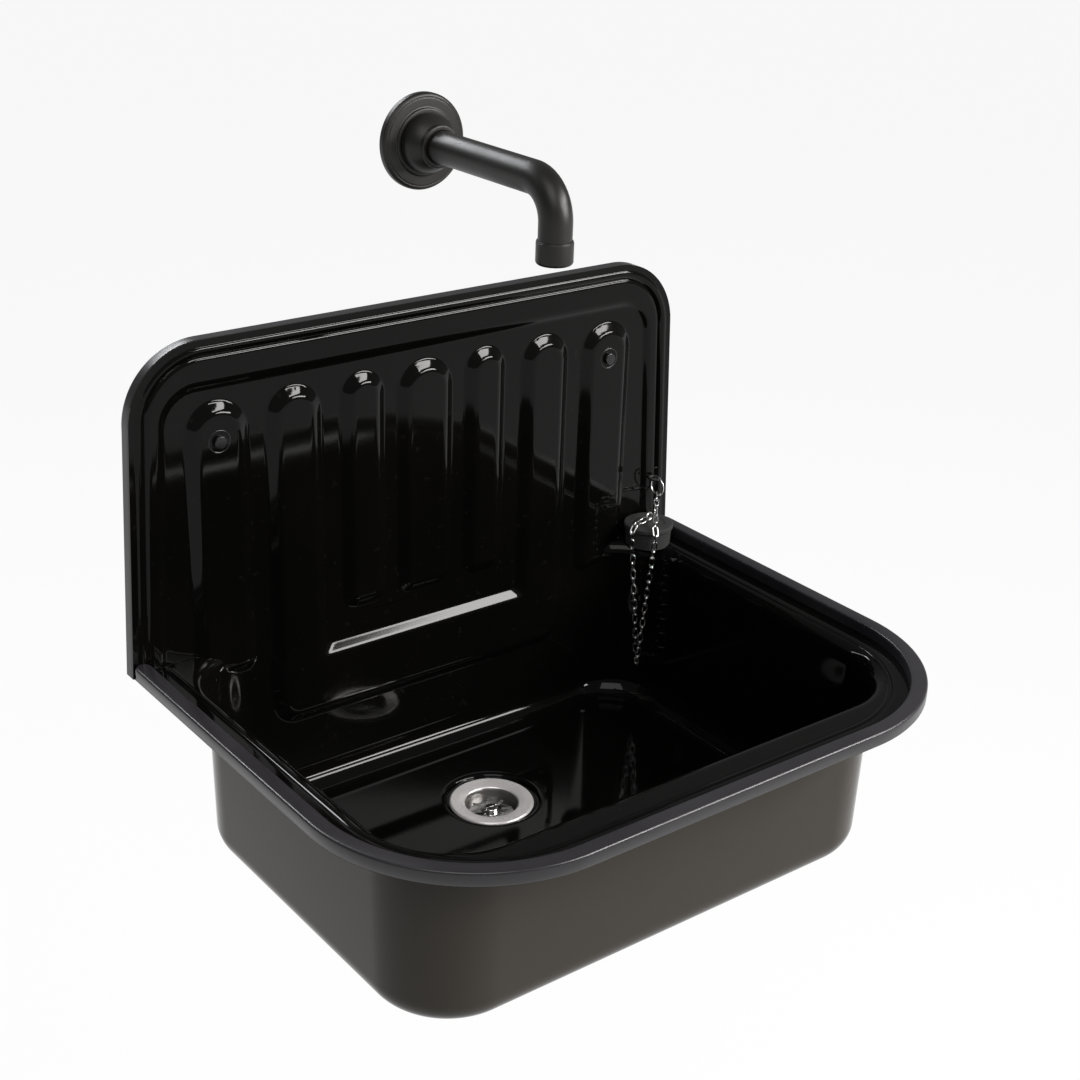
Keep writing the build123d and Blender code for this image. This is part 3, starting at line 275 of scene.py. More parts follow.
ENAMEL = Finish("black_enamel", (0.0018, 0.0017, 0.0016), (0.0024, 0.0022, 0.0020), (0.045, 0.085),
                specular=0.14, drift_scale=9.0, grain_scale=240.0, grain_depth=0.0000045, speck=0.002,
                back_and_shade_tone=(0.036, 0.031, 0.025))
EDGE_STRIP = Finish("edge_strip_black", (0.0150, 0.0138, 0.0160), (0.0215, 0.0200, 0.0225), (0.26, 0.36),
                    specular=0.42, drift_scale=16.0, grain_scale=1600.0, grain_depth=0.000012)
SPOUT_BLACK = Finish("spout_powder_black", (0.0060, 0.0056, 0.0050), (0.0090, 0.0084, 0.0075), (0.34, 0.44),
                     specular=0.34, drift_scale=22.0, grain_scale=2600.0, grain_depth=0.00002)
CHROME = Finish("polished_chrome", (0.74, 0.73, 0.72), (0.66, 0.65, 0.645), (0.06, 0.13),
                metallic=1.0, drift_scale=30.0, grain_scale=1300.0, grain_depth=0.000004)
# Its darker marked colour is painted shade down the waste's throat.
SATIN_STEEL = Finish("satin_waste_steel", (0.80, 0.77, 0.765), (0.70, 0.675, 0.67), (0.22, 0.34),
                     metallic=0.45, drift_scale=40.0, grain_scale=3000.0, grain_depth=0.000012,
                     grain=Grain.TURNED, back_and_shade_tone=(0.12, 0.115, 0.11))
CHAIN_STEEL = Finish("chain_steel", (0.92, 0.91, 0.90), (0.80, 0.79, 0.78), (0.32, 0.46),
                     metallic=0.3, drift_scale=160.0, grain_scale=2600.0, grain_depth=0.00001)
STAY_BLACK = Finish("stay_black", (0.012, 0.0115, 0.011), (0.020, 0.019, 0.018), (0.20, 0.32),
                    drift_scale=90.0, grain_scale=2200.0, grain_depth=0.00001)
CAP_PLASTIC = Finish("cap_black_plastic", (0.006, 0.006, 0.0062), (0.0085, 0.0085, 0.0085), (0.16, 0.24),
                     specular=0.4, drift_scale=60.0, grain_scale=1800.0, grain_depth=0.00001)
PLUG_RUBBER = Finish("plug_rubber", (0.0040, 0.0039, 0.0038), (0.0065, 0.0063, 0.0060), (0.34, 0.48),
                     specular=0.26, drift_scale=70.0, grain_scale=2400.0, grain_depth=0.00003, speck=0.004)
SEAL_RUBBER = Finish("seal_rubber", (0.016, 0.016, 0.016), (0.026, 0.026, 0.025), (0.55, 0.7),
                     drift_scale=60.0, grain_scale=1800.0, grain_depth=0.00003, speck=0.012)
ZINC = Finish("zinc_plated_steel", (0.58, 0.59, 0.60), (0.45, 0.46, 0.46), (0.24, 0.40),
              metallic=1.0, drift_scale=150.0, grain_scale=1600.0, grain_depth=0.00002)
NYLON = Finish("grey_nylon", (0.26, 0.265, 0.27), (0.32, 0.325, 0.33), (0.42, 0.55),
               drift_scale=50.0, grain_scale=1500.0, grain_depth=0.00003)
WASTE_PLASTIC = Finish("waste_moulded_plastic", (0.72, 0.72, 0.70), (0.66, 0.66, 0.64), (0.34, 0.46),
                       drift_scale=45.0, grain_scale=1900.0, grain_depth=0.00003)
BRASS = Finish("turned_brass", (0.72, 0.50, 0.20), (0.60, 0.40, 0.15), (0.20, 0.34),
               metallic=1.0, drift_scale=120.0, grain_scale=2400.0, grain_depth=0.00002,
               grain=Grain.DRAWN)
AERATOR_PLASTIC = Finish("aerator_grey_plastic", (0.16, 0.165, 0.17), (0.20, 0.205, 0.21), (0.30, 0.42),
                         drift_scale=80.0, grain_scale=2200.0, grain_depth=0.00002)


class Skin:
    """Points and faces gathered for one mesh, in drawing millimetres."""

    def __init__(self) -> None:
        """Start with no points and no faces."""
        self.blocks: list[np.ndarray] = []
        self.faces: list[tuple[int, ...]] = []
        self.count = 0

    def add(self, points: np.ndarray, faces: Sequence[tuple[int, ...]]) -> None:
        """Add loose points with their faces.

        Args:
            points: Array of points, one row each.
            faces: Faces that index these points.
        """
        start = self.count
        self.blocks.append(np.asarray(points, float).reshape(-1, 3))
        self.faces.extend(tuple(start + i for i in face) for face in faces)
        self.count += len(self.blocks[-1])

    def add_grid(self, grid: np.ndarray, around: bool = False, along: bool = False, flip: bool = False) -> None:
        """Add a sheet of quads.

        Args:
            grid: Points of shape (rows, columns, 3).
            around: Whether the last column joins the first.
            along: Whether the last row joins the first.
            flip: Whether the faces turn the other way.
        """
        rows, columns = grid.shape[:2]
        faces = []
        for i in range(rows if along else rows - 1):
            upper = ((i + 1) % rows) * columns
            for j in range(columns if around else columns - 1):
                right = (j + 1) % columns
                face = (i * columns + j, i * columns + right, upper + right, upper + j)
                faces.append(face[::-1] if flip else face)
        self.add(grid.reshape(-1, 3), faces)

    def add_cap(self, ring: np.ndarray, flip: bool = False) -> None:
        """Close a ring of points with one face.

        Args:
            ring: Points of the ring, in order.
            flip: Whether the face turns the other way.
        """
        order = tuple(range(len(ring)))
        self.add(ring, [order[::-1] if flip else order])

    def piece(self, name: str, weld: float = 0.002, crease: float = 35.0) -> bpy.types.Object:
        """Make the mesh object, with smooth shading but sharp creases.

        Args:
            name: Name of the piece.
            weld: Distance in millimetres within which points join.
            crease: Angle in degrees from which an edge stays sharp.

        Returns:
            The new object, linked to the scene.
        """
        mesh = bpy.data.meshes.new(name)
        points = ROW.place(np.concatenate(self.blocks))
        mesh.from_pydata(points.tolist(), [], self.faces)
        work = bmesh.new()
        work.from_mesh(mesh)
        bmesh.ops.remove_doubles(work, verts=work.verts, dist=weld * ROW.metres_per_mm)
        bmesh.ops.dissolve_degenerate(work, dist=1e-7, edges=work.edges)
        work.to_mesh(mesh)
        work.free()
        mesh.shade_smooth()
        mesh.set_sharp_from_angle(angle=math.radians(crease))
        made = bpy.data.objects.new(name, mesh)
        bpy.context.scene.collection.objects.link(made)
        return made


def mark_back_and_shade(mesh: bpy.types.Mesh, marks: Sequence[float]) -> None:
    """Mark the points of a mesh that take its finish's second colour: the enamel's back side, and painted shade in
    the waste's throat.

    Args:
        mesh: The mesh.
        marks: One for a marked point and nought for any other.
    """
    layer = mesh.attributes.new(BACK_AND_SHADE_MARK, "FLOAT", "POINT")
    layer.data.foreach_set("value", list(marks))


def settle(
    piece: bpy.types.Object, finish: Finish, body: str = "sink", nodes: Sequence[str] = ()
) -> bpy.types.Object:
    """Dress a piece, set it on its body and say which nodes it stands for.

    Args:
        piece: The new object.
        finish: Its finish.
        body: Body that it rides on.
        nodes: Nodes that it replaces.

    Returns:
        The same object.
    """
    piece.data.materials.clear()
    piece.data.materials.append(finish.make())
    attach(piece, body)
    if nodes:
        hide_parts(*nodes)
    LOG.info("%s rides on %s, replaces %s", piece.name, body, ", ".join(nodes) or "nothing")
    return piece


def dress_node(node: str, finish: Finish) -> None:
    """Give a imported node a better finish.

    Args:
        node: Name of the node.
        finish: Its finish.
    """
    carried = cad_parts[node]
    for holder in carried.material_slots:
        holder.material = finish.make()
    if not carried.material_slots:
        carried.data.materials.append(finish.make())
    LOG.info("%s keeps its solid with %s", node, finish.name)


def rounded(profile: Profile, radius: float, steps: int = 5) -> list[tuple[float, float]]:
    """Round the corners of an open profile.

    Args:
        profile: Points of the profile.
        radius: Largest cut-back from each corner.
        steps: Points on each rounded corner.

    Returns:
        The profile with each inner corner replaced by a smooth curve.
    """
    done = [profile[0]]
    for before, corner, after in zip(profile, profile[1:], profile[2:]):
        b, c, a = (np.array(p, float) for p in (before, corner, after))
        into, out = np.linalg.norm(c - b), np.linalg.norm(a - c)
        cut = min(radius, into * 0.45, out * 0.45)
        start, end = c + (b - c) * cut / into, c + (a - c) * cut / out
        for k in range(steps + 1):
            t = k / steps
            done.append(tuple((1 - t) ** 2 * start + 2 * t * (1 - t) * c + t * t * end))
    done.append(profile[-1])
    return done


def turned(
    profile: Profile,
    centre: Point,
    facing_out: bool = False,
    segments: int = 128,
    closed: bool = False,
    flip: bool = False,
) -> Skin:
    """Turn a profile about an axis.

    Args:
        profile: Points as radius and height along the axis.
        centre: Point on the axis at height nought.
        facing_out: Whether the axis runs out from the wall, or else upwards.
        segments: Faces round the axis.
        closed: Whether the profile closes on itself.
        flip: Whether the faces turn the other way.

    Returns:
        The skin of the turned form.
    """
    angles = np.linspace(0, 2 * math.pi, segments, endpoint=False)
    radius = np.array([p[0] for p in profile])[:, None]
    height = np.array([p[1] for p in profile])[:, None] + 0 * angles[None, :]
    across, up = radius * np.cos(angles), radius * np.sin(angles)
    if facing_out:
        grid = np.stack([across, -height, up], axis=-1)
    else:
        grid = np.stack([across, up, height], axis=-1)
    skin = Skin()
    skin.add_grid(grid + np.array(centre), around=True, along=closed, flip=flip)
    return skin


def threaded(
    radius: float, depth: float, pitch: float, low: float, high: float, steps: int = 96
) -> np.ndarray:
    """Points of a round-crested thread about the upward axis.

    Args:
        radius: Radius over the crests.
        depth: Depth of the thread.
        pitch: Height of one turn.
        low: Height of its lower end.
        high: Height of its upper end.
        steps: Points round one turn.

    Returns:
        Grid of points as rows of rings.
    """
    angles = np.linspace(0, 2 * math.pi, steps, endpoint=False)
    heights = np.arange(low, high + pitch / 16, pitch / 8)
    heights[-1] = high
    phase = (heights[:, None] / pitch - angles[None, :] / (2 * math.pi)) * 2 * math.pi
    fade = np.clip(np.minimum(heights - low, high - heights) / pitch, 0, 1)[:, None]
    wave = (0.5 - 0.5 * np.cos(phase)) * fade
    ring = radius - depth * wave
    return np.stack(
        [ring * np.cos(angles), ring * np.sin(angles), heights[:, None] + 0 * angles], axis=-1
    )


@dataclass
class SplashOutline:
    """Outline of the splashback on the wall, and distances measured in from it."""

    low: float = -11.0
    top: float = 235.0
    low_half: float = 255.0
    top_half: float = 243.5
    corner: float = 58.0

    def half(self, z: np.ndarray) -> np.ndarray:
        """Half width of the sides, without the corners, at given heights."""
        return self.low_half + (self.top_half - self.low_half) * (z - self.low) / (self.top - self.low)

    def corner_centre(self, side: float, top: float, radius: float) -> tuple[float, float]:
        """Centre of the round corner of an outline that is drawn in.

        Args:
            side: Inset of the sides.
            top: Inset of the top.
            radius: Radius of the corner.

        Returns:
            Its place across and its height.
        """
        height = self.top - top - radius
        return float(self.half(np.array(height))) - side - radius, height

    def inside(self, x: np.ndarray, z: np.ndarray, side: float = 0.0, top: float = 0.0) -> np.ndarray:
        """Distance inside the outline, or inside one drawn in from it.

        Args:
            x: Places across.
            z: Heights.
            side: Inset of the sides.
            top: Inset of the top.

        Returns:
            Distances, negative outside.
        """
        radius = self.corner - (side + top) / 2
        cx, cz = self.corner_centre(side, top, radius)
        flat = np.minimum(self.half(z) - side - np.abs(x), self.top - top - z)
        round_part = radius - np.hypot(np.maximum(np.abs(x) - cx, 0), np.maximum(z - cz, 0))
        return np.where((np.abs(x) > cx) & (z > cz), round_part, flat)

    def reach(self, z: np.ndarray) -> np.ndarray:
        """Half width of the outline with its round corners, at given heights.

        Args:
            z: Heights.

        Returns:
            Half widths.
        """
        cx, cz = self.corner_centre(0.0, 0.0, self.corner)
        rise = np.clip(z - cz, 0, self.corner)
        curved = cx + np.sqrt(np.maximum(self.corner ** 2 - rise ** 2, 0))
        return np.where(z > cz, np.minimum(curved, self.half(z)), self.half(z))


@dataclass
class PressedRelief:
    """Front of the pressing: how far it stands off the wall at each place."""

    outline: SplashOutline = field(default_factory=SplashOutline)
    field_face: float = 6.5
    band_rise: float = 2.5
    rib_rise: float = 5.0
    slope: float = 11.0
    soft_share: float = 0.16
    rib_top: float = 189.0
    short_foot: float = -5.0
    foot_radius: float = 13.0
    wide: float = 26.0
    leg: float = 24.0
    narrow: float = 20.0
    outer_x: float = 178.5
    leg_x: float = 115.5
    narrow_x: float = 56.5
    bar_half: float = 139.5
    bar_top: float = -29.0
    bar_foot: float = -90.0
    bar_corner: float = 22.0
    union_blend: float = 9.0
    leg_lift: float = 22.0
    outer_run_on: float = 22.0
    band_side: float = 22.0
    band_top: float = 31.0
    band_step: float = 5.5
    bead_height: float = 1.1
    bead_inset: float = 8.2
    bead_spread: float = 1.9
    groove_depth: float = 1.5
    groove_inset: float = 12.2
    border_from_x: float = 205.0
    border_from_z: float = 150.0

    def ramp(self, depth: np.ndarray) -> np.ndarray:
        """Share of the full rise at a depth inside an outline, straight with soft ends.

        Args:
            depth: Depths as shares of the slope's width.

        Returns:
            Shares from nought to one.
        """
        t = np.clip(depth, 0, 1)
        e = self.soft_share
        m = 1 / (1 - e)
        return np.where(
            t < e, m * t ** 2 / (2 * e), np.where(t <= 1 - e, m * (t - e / 2), 1 - m * (1 - t) ** 2 / (2 * e))
        )

    def rib_depth(
        self, x: np.ndarray, z: np.ndarray, centre: float, half: float, low: float
    ) -> np.ndarray:
        """Depth inside one upright rib's outline.

        Args:
            x: Places across.
            z: Heights.
            centre: Middle of the rib.
            half: Half of its width.
            low: Height of its foot.

        Returns:
            Depths, negative outside.
        """
        across = np.abs(x - centre)
        shoulder = self.rib_top - half
        head = half - np.hypot(across, z - shoulder)
        inner = half - self.foot_radius
        qx = np.maximum(across - inner, 0)
        qz = np.maximum(low + self.foot_radius - z, 0)
        foot = np.where((qx > 0) & (qz > 0), self.foot_radius - np.hypot(qx, qz), np.minimum(half - across, z - low))
        return np.where(z > shoulder, head, foot)

    def bar_depth(self, x: np.ndarray, z: np.ndarray) -> np.ndarray:
        """Depth inside the cross bar's outline.

        Args:
            x: Places across.
            z: Heights.

        Returns:
            Depths, negative outside.
        """
        qx = np.abs(x) - (self.bar_half - self.bar_corner)
        qz = self.bar_foot + self.bar_corner - z
        corner = self.bar_corner - np.hypot(np.maximum(qx, 0), np.maximum(qz, 0))
        flat = np.minimum(self.bar_half - np.abs(x), np.minimum(z - self.bar_foot, self.bar_top - z))
        return np.where((qx > 0) & (qz > 0), corner, flat)

    def ribs(self, x: np.ndarray, z: np.ndarray) -> np.ndarray:
        """Rise of all ribs and the cross bar over the flat field.

        Args:
            x: Places across.
            z: Heights.

        Returns:
            Rises in millimetres.
        """
        side = np.abs(x)
        legs = self.rib_depth(side, z, self.leg_x, self.leg, self.bar_foot + self.leg_lift)
        bar = self.bar_depth(x, z)
        gap = np.clip(1 - np.abs(legs - bar) / self.union_blend, 0, 1)
        frame_depth = np.maximum(legs, bar) + gap ** 2 * self.union_blend / 4
        others = np.maximum.reduce([
            self.rib_depth(side, z, 0.0, self.wide, self.short_foot),
            self.rib_depth(side, z, self.narrow_x, self.narrow, self.short_foot),
            self.rib_depth(side, z, self.outer_x, self.wide, self.outline.low - self.outer_run_on),
        ])
        return self.rib_rise * self.ramp(np.maximum(frame_depth, others) / self.slope)

    def border(self, x: np.ndarray, z: np.ndarray) -> np.ndarray:
        """Rise of the border over the flat field: bead, groove, band and step.

        Args:
            x: Places across.
            z: Heights.

        Returns:
            Rises in millimetres.
        """
        edge = self.outline.inside(x, z)
        pocket = self.outline.inside(x, z, self.band_side, self.band_top)
        rise = self.band_rise * (1 - self.ramp(pocket / self.band_step))
        bead = self.bead_height * np.exp(-(((edge - self.bead_inset) / self.bead_spread) ** 2))
        groove = -self.groove_depth * np.exp(-(((edge - self.groove_inset) / self.bead_spread) ** 2))
        return rise + bead + groove

    def front(self, x: np.ndarray, z: np.ndarray) -> np.ndarray:
        """Distance of the whole front from the wall.

        Args:
            x: Places across.
            z: Heights.

        Returns:
            Distances in millimetres.
        """
        above = np.where(z >= self.outline.low - 1e-6, self.border(x, np.maximum(z, self.outline.low)), 0.0)
        inner = np.where(np.abs(x) > self.border_from_x, above, np.where(z > self.border_from_z, above, 0.0))
        return self.field_face + self.ribs(x, z) + inner


@dataclass
class EnamelPressing:
    """The one enamelled sheet: splashback, flange, bead, bowl and recess for the waste."""

    relief: PressedRelief = field(default_factory=PressedRelief)
    sheet: float = 2.0
    rim_half: float = 255.0
    rim_front: float = 385.5
    rim_corner: float = 127.0
    bowl_half: float = 217.5
    bowl_front: float = 332.0
    front_corner: float = 63.0
    rear_corner: float = 60.0
    lean: float = 3.6
    flange: float = -11.0
    floor: float = -155.0
    floor_radius: float = 22.0
    mouth_radius: float = 10.0
    bead_inset: float = 25.5
    bead_width: float = 3.0
    bead_rise: float = 0.8
    bead_power: float = 1.5
    past_bead: float = 0.8
    flange_insets: tuple[float, ...] = (1.0, 6.0, 12.0, 15.0, 18.5, 22.0, 24.8)
    waste_y: float = -106.5
    recess_radius: float = 38.0
    recess_drop: float = 3.0
    brim_width: float = 5.0
    hole_radius: float = 24.6
    fillet_reach: float = 9.0
    fillet_start: float = 164.0
    fillet_end: float = 249.5
    fillet_growth: float = 36.0
    weld: float = 0.02
    crease: float = 50.0

    def __post_init__(self) -> None:
        """Work out the columns that every ring of the bowl shares."""
        self.straight_x = np.linspace(0, self.bowl_half - self.rear_corner, 106)
        self.rear_turn = np.linspace(0, math.pi / 2, 38)[1:]
        self.side_share = np.linspace(0, 1, 48)[1:]
        self.front_turn = np.linspace(0, math.pi / 2, 34)[1:]
        self.front_share = np.linspace(0, 1, 44)[1:]

    def bowl_ring(self, side: float, front: float, rear: float) -> np.ndarray:
        """Plan of the bowl grown by three amounts.

        Args:
            side: Growth of the sides.
            front: Growth of the front.
            rear: Growth of the rear.

        Returns:
            Points of the right half, from the middle of the rear to the middle of the front.
        """
        rear_line = -self.relief.field_face
        cx, cy = self.bowl_half - self.rear_corner, rear_line - self.rear_corner
        fx, fy = self.bowl_half - self.front_corner, -self.bowl_front + self.front_corner
        parts = [
            np.stack([self.straight_x, np.full_like(self.straight_x, rear_line + rear)], -1),
            np.stack([cx + (self.rear_corner + side) * np.sin(self.rear_turn),
                      cy + (self.rear_corner + rear) * np.cos(self.rear_turn)], -1),
            np.stack([np.full_like(self.side_share, self.bowl_half + side), cy + (fy - cy) * self.side_share], -1),
            np.stack([fx + (self.front_corner + side) * np.cos(self.front_turn),
                      fy - (self.front_corner + front) * np.sin(self.front_turn)], -1),
            np.stack([fx * (1 - self.front_share),
                      np.full_like(self.front_share, -self.bowl_front - front)], -1),
        ]
        return np.concatenate(parts)

    def rim_ring(self, inset: float) -> np.ndarray:
        """Plan of the rim drawn in by an inset, on the same columns.

        Args:
            inset: Distance in from the rim.

        Returns:
            Points of the right half; the rear straight repeats the bowl's rear line.
        """
        rear_line = -self.relief.field_face
        cx, cy = self.bowl_half - self.rear_corner, rear_line - self.rear_corner
        rx, ry = self.rim_half - self.rim_corner, -self.rim_front + self.rim_corner
        edge = self.rim_half - inset
        corner_y = np.minimum(cy + (edge - cx) / np.tan(self.rear_turn), rear_line)
        radius = self.rim_corner - inset
        parts = [
            np.stack([self.straight_x, np.full_like(self.straight_x, rear_line)], -1),
            np.stack([np.full_like(corner_y, edge), corner_y], -1),
            np.stack([np.full_like(self.side_share, edge), cy + (ry - cy) * self.side_share], -1),
            np.stack([rx + radius * np.cos(self.front_turn), ry - radius * np.sin(self.front_turn)], -1),
            np.stack([rx * (1 - self.front_share), np.full_like(self.front_share, -self.rim_front + inset)], -1),
        ]
        return np.concatenate(parts)

    def rings(self) -> list[tuple[np.ndarray, float]]:
        """All rings of the bowl and flange, from the rim to the waste hole.

        Returns:
            Pairs of a plan ring and its height.
        """
        made = [(self.rim_ring(i), self.flange) for i in self.flange_insets]
        # The bead rises on the rear line too, where the flange has no width, and that folds the sheet there.
        for share in np.linspace(0, 1, 9):
            height = self.flange + self.bead_rise * math.sin(math.pi * share) ** self.bead_power
            made.append((self.rim_ring(self.bead_inset + self.bead_width * share), height))
        start = self.rim_ring(self.bead_inset + self.bead_width + self.past_bead)
        mouth = self.bowl_ring(self.mouth_radius, self.mouth_radius, self.mouth_radius)
        for share in np.linspace(0, 1, 8)[:-1]:
            made.append((start * (1 - share) + mouth * share, self.flange))
        for turn in np.linspace(0, math.pi / 2, 14):
            grow = self.mouth_radius * (1 - math.sin(turn))
            made.append((self.bowl_ring(grow, grow, grow), self.flange - self.mouth_radius * (1 - math.cos(turn))))
        wall_top = self.flange - self.mouth_radius
        wall_low = self.floor + self.floor_radius
        for height in np.linspace(wall_top, wall_low, 76)[1:]:
            lean = -self.lean * (self.flange - height) / (self.flange - self.floor)
            made.append((self.bowl_ring(lean, lean, 0.0), height))
        lean = -self.lean * (self.flange - wall_low) / (self.flange - self.floor)
        for turn in np.linspace(0, math.pi / 2, 18)[1:]:
            back = -self.floor_radius * (1 - math.cos(turn))
            ring = self.bowl_ring(lean + back, lean + back, back)
            made.append((ring, wall_low - self.floor_radius * math.sin(turn)))
        return made + self.floor_rings(made[-1][0])

    def floor_rings(self, outer: np.ndarray) -> list[tuple[np.ndarray, float]]:
        """Rings of the floor, from its edge to the waste hole.

        Args:
            outer: Plan ring at the floor's edge.

        Returns:
            Pairs of a plan ring and its height.
        """
        middle = np.array([0.0, self.waste_y])
        away = outer - middle
        away = away / np.linalg.norm(away, axis=1)[:, None]
        brim = middle + away * (self.recess_radius + self.brim_width)
        made = [(outer * (1 - s) + brim * s, self.floor) for s in np.linspace(0, 1, 16)[1:]]
        profile = rounded(
            [(self.recess_radius + 3.5, self.floor), (self.recess_radius + 1.2, self.floor),
             (self.recess_radius - 0.6, self.floor - self.recess_drop),
             (self.recess_radius - 5.0, self.floor - self.recess_drop)], 2.0, 6)
        made += [(middle + away * radius, height) for radius, height in profile]
        made.append((middle + away * self.hole_radius, self.floor - self.recess_drop))
        return made

    def bowl_grid(self) -> np.ndarray:
        """Right half of the flange and bowl, held in front of the pressed rear wall.

        Returns:
            Grid of points as rows of rings.
        """
        rows = []
        for ring, height in self.rings():
            z = np.full(len(ring), float(height))
            front = self.relief.field_face + self.relief.ribs(ring[:, 0], z)
            y = np.minimum(ring[:, 1], -front)
            rows.append(np.stack([ring[:, 0], y, z], -1))
        return np.stack(rows)

    def splash_grid(self) -> np.ndarray:
        """Right half of the splashback's front.

        Returns:
            Grid of points as rows from the flange upwards.
        """
        outline = self.relief.outline
        _, corner_z = outline.corner_centre(0.0, 0.0, outline.corner)
        low_rows = np.linspace(outline.low, corner_z, 126)
        turn = np.linspace(0, math.pi / 2, 44)[1:]
        heights = np.concatenate([low_rows, corner_z + outline.corner * np.sin(turn)])
        inner = self.straight_x
        shares = np.linspace(0, 1, 68)[1:]
        rows = []
        for z in heights:
            reach = float(outline.reach(np.array(z)))
            x = np.concatenate([inner, inner[-1] + (reach - inner[-1]) * shares])
            height = np.full_like(x, z)
            rows.append(np.stack([x, -self.relief.front(x, height), height], -1))
        return np.stack(rows)

    def ledge_grid(self) -> np.ndarray:
        """Hollow fillet where the right ledge meets the splashback.

        Returns:
            Grid of points, one row for each place across.
        """
        cx = self.bowl_half - self.rear_corner
        cy = self.relief.field_face + self.rear_corner
        rows = []
        for x in np.linspace(self.fillet_start, self.fillet_end, 90):
            reach = self.fillet_reach * float(np.clip((x - self.fillet_start) / self.fillet_growth, 0.05, 1))
            foot = float(self.relief.front(np.array([x]), np.array([self.flange]))[0])
            corner = np.array([x, -foot, self.ledge_height(x, foot, cx, cy)])
            start = np.array([x, -foot - reach, self.ledge_height(x, foot + reach, cx, cy)])
            top_z = corner[2] + reach
            top = np.array([x, -float(self.relief.front(np.array([x]), np.array([top_z]))[0]), top_z])
            t = np.linspace(0, 1, 14)[:, None]
            rows.append((1 - t) ** 2 * start + 2 * t * (1 - t) * corner + t * t * top)
        return np.stack(rows)

    def ledge_height(self, x: float, out: float, cx: float, cy: float) -> float:
        """Height of the ledge or of the rolled mouth beside it.

        Args:
            x: Place across.
            out: Distance out from the wall.
            cx: Middle of the bowl's rear corner, across.
            cy: Middle of the bowl's rear corner, out from the wall.

        Returns:
            The height from the rim.
        """
        radius = math.hypot(x - cx, cy - out)
        flat = self.rear_corner + self.mouth_radius
        if radius >= flat or out > cy:
            return self.flange
        drop = min(flat - radius, self.mouth_radius)
        return self.flange - self.mouth_radius + math.sqrt(max(self.mouth_radius ** 2 - drop ** 2, 0.0))

    def build(self) -> bpy.types.Object:
        """Make the whole sheet with its thickness.

        Returns:
            The finished piece.
        """
        front = Skin()
        for grid, flip in ((self.bowl_grid(), False), (self.splash_grid(), True)):
            front.add_grid(grid, flip=flip)
            front.add_grid(grid * MIRROR, flip=not flip)
        sheet = front.piece("enamel_front", weld=self.weld)
        front_points = len(sheet.data.vertices)
        thick = sheet.modifiers.new("thickness", "SOLIDIFY")
        thick.thickness = self.sheet * ROW.metres_per_mm
        thick.offset = -1.0
        thick.use_rim = True
        graph = bpy.context.evaluated_depsgraph_get()
        mesh = bpy.data.meshes.new_from_object(sheet.evaluated_get(graph))
        bpy.data.objects.remove(sheet)
        mesh.name = "enamel_pressing"
        # At this offset the modifier moves the first points to the back and adds new ones at the front.
        mark_back_and_shade(mesh, [float(i < front_points) for i in range(len(mesh.vertices))])
        piece = bpy.data.objects.new("enamel_pressing", mesh)
        bpy.context.scene.collection.objects.link(piece)
        mesh.set_sharp_from_angle(angle=math.radians(self.crease))
        return settle(piece, ENAMEL, nodes=("basin_shell", "splashback"))

    def build_ledges(self) -> bpy.types.Object:
        """Make the hollow fillets at the foot of the splashback, as a sheet without thickness.

        Returns:
            The finished piece.
        """
        grid = self.ledge_grid()
        skin = Skin()
        skin.add_grid(grid, flip=True)
        skin.add_grid(grid * MIRROR)
        return settle(skin.piece("enamel_ledge_fillets"), ENAMEL)


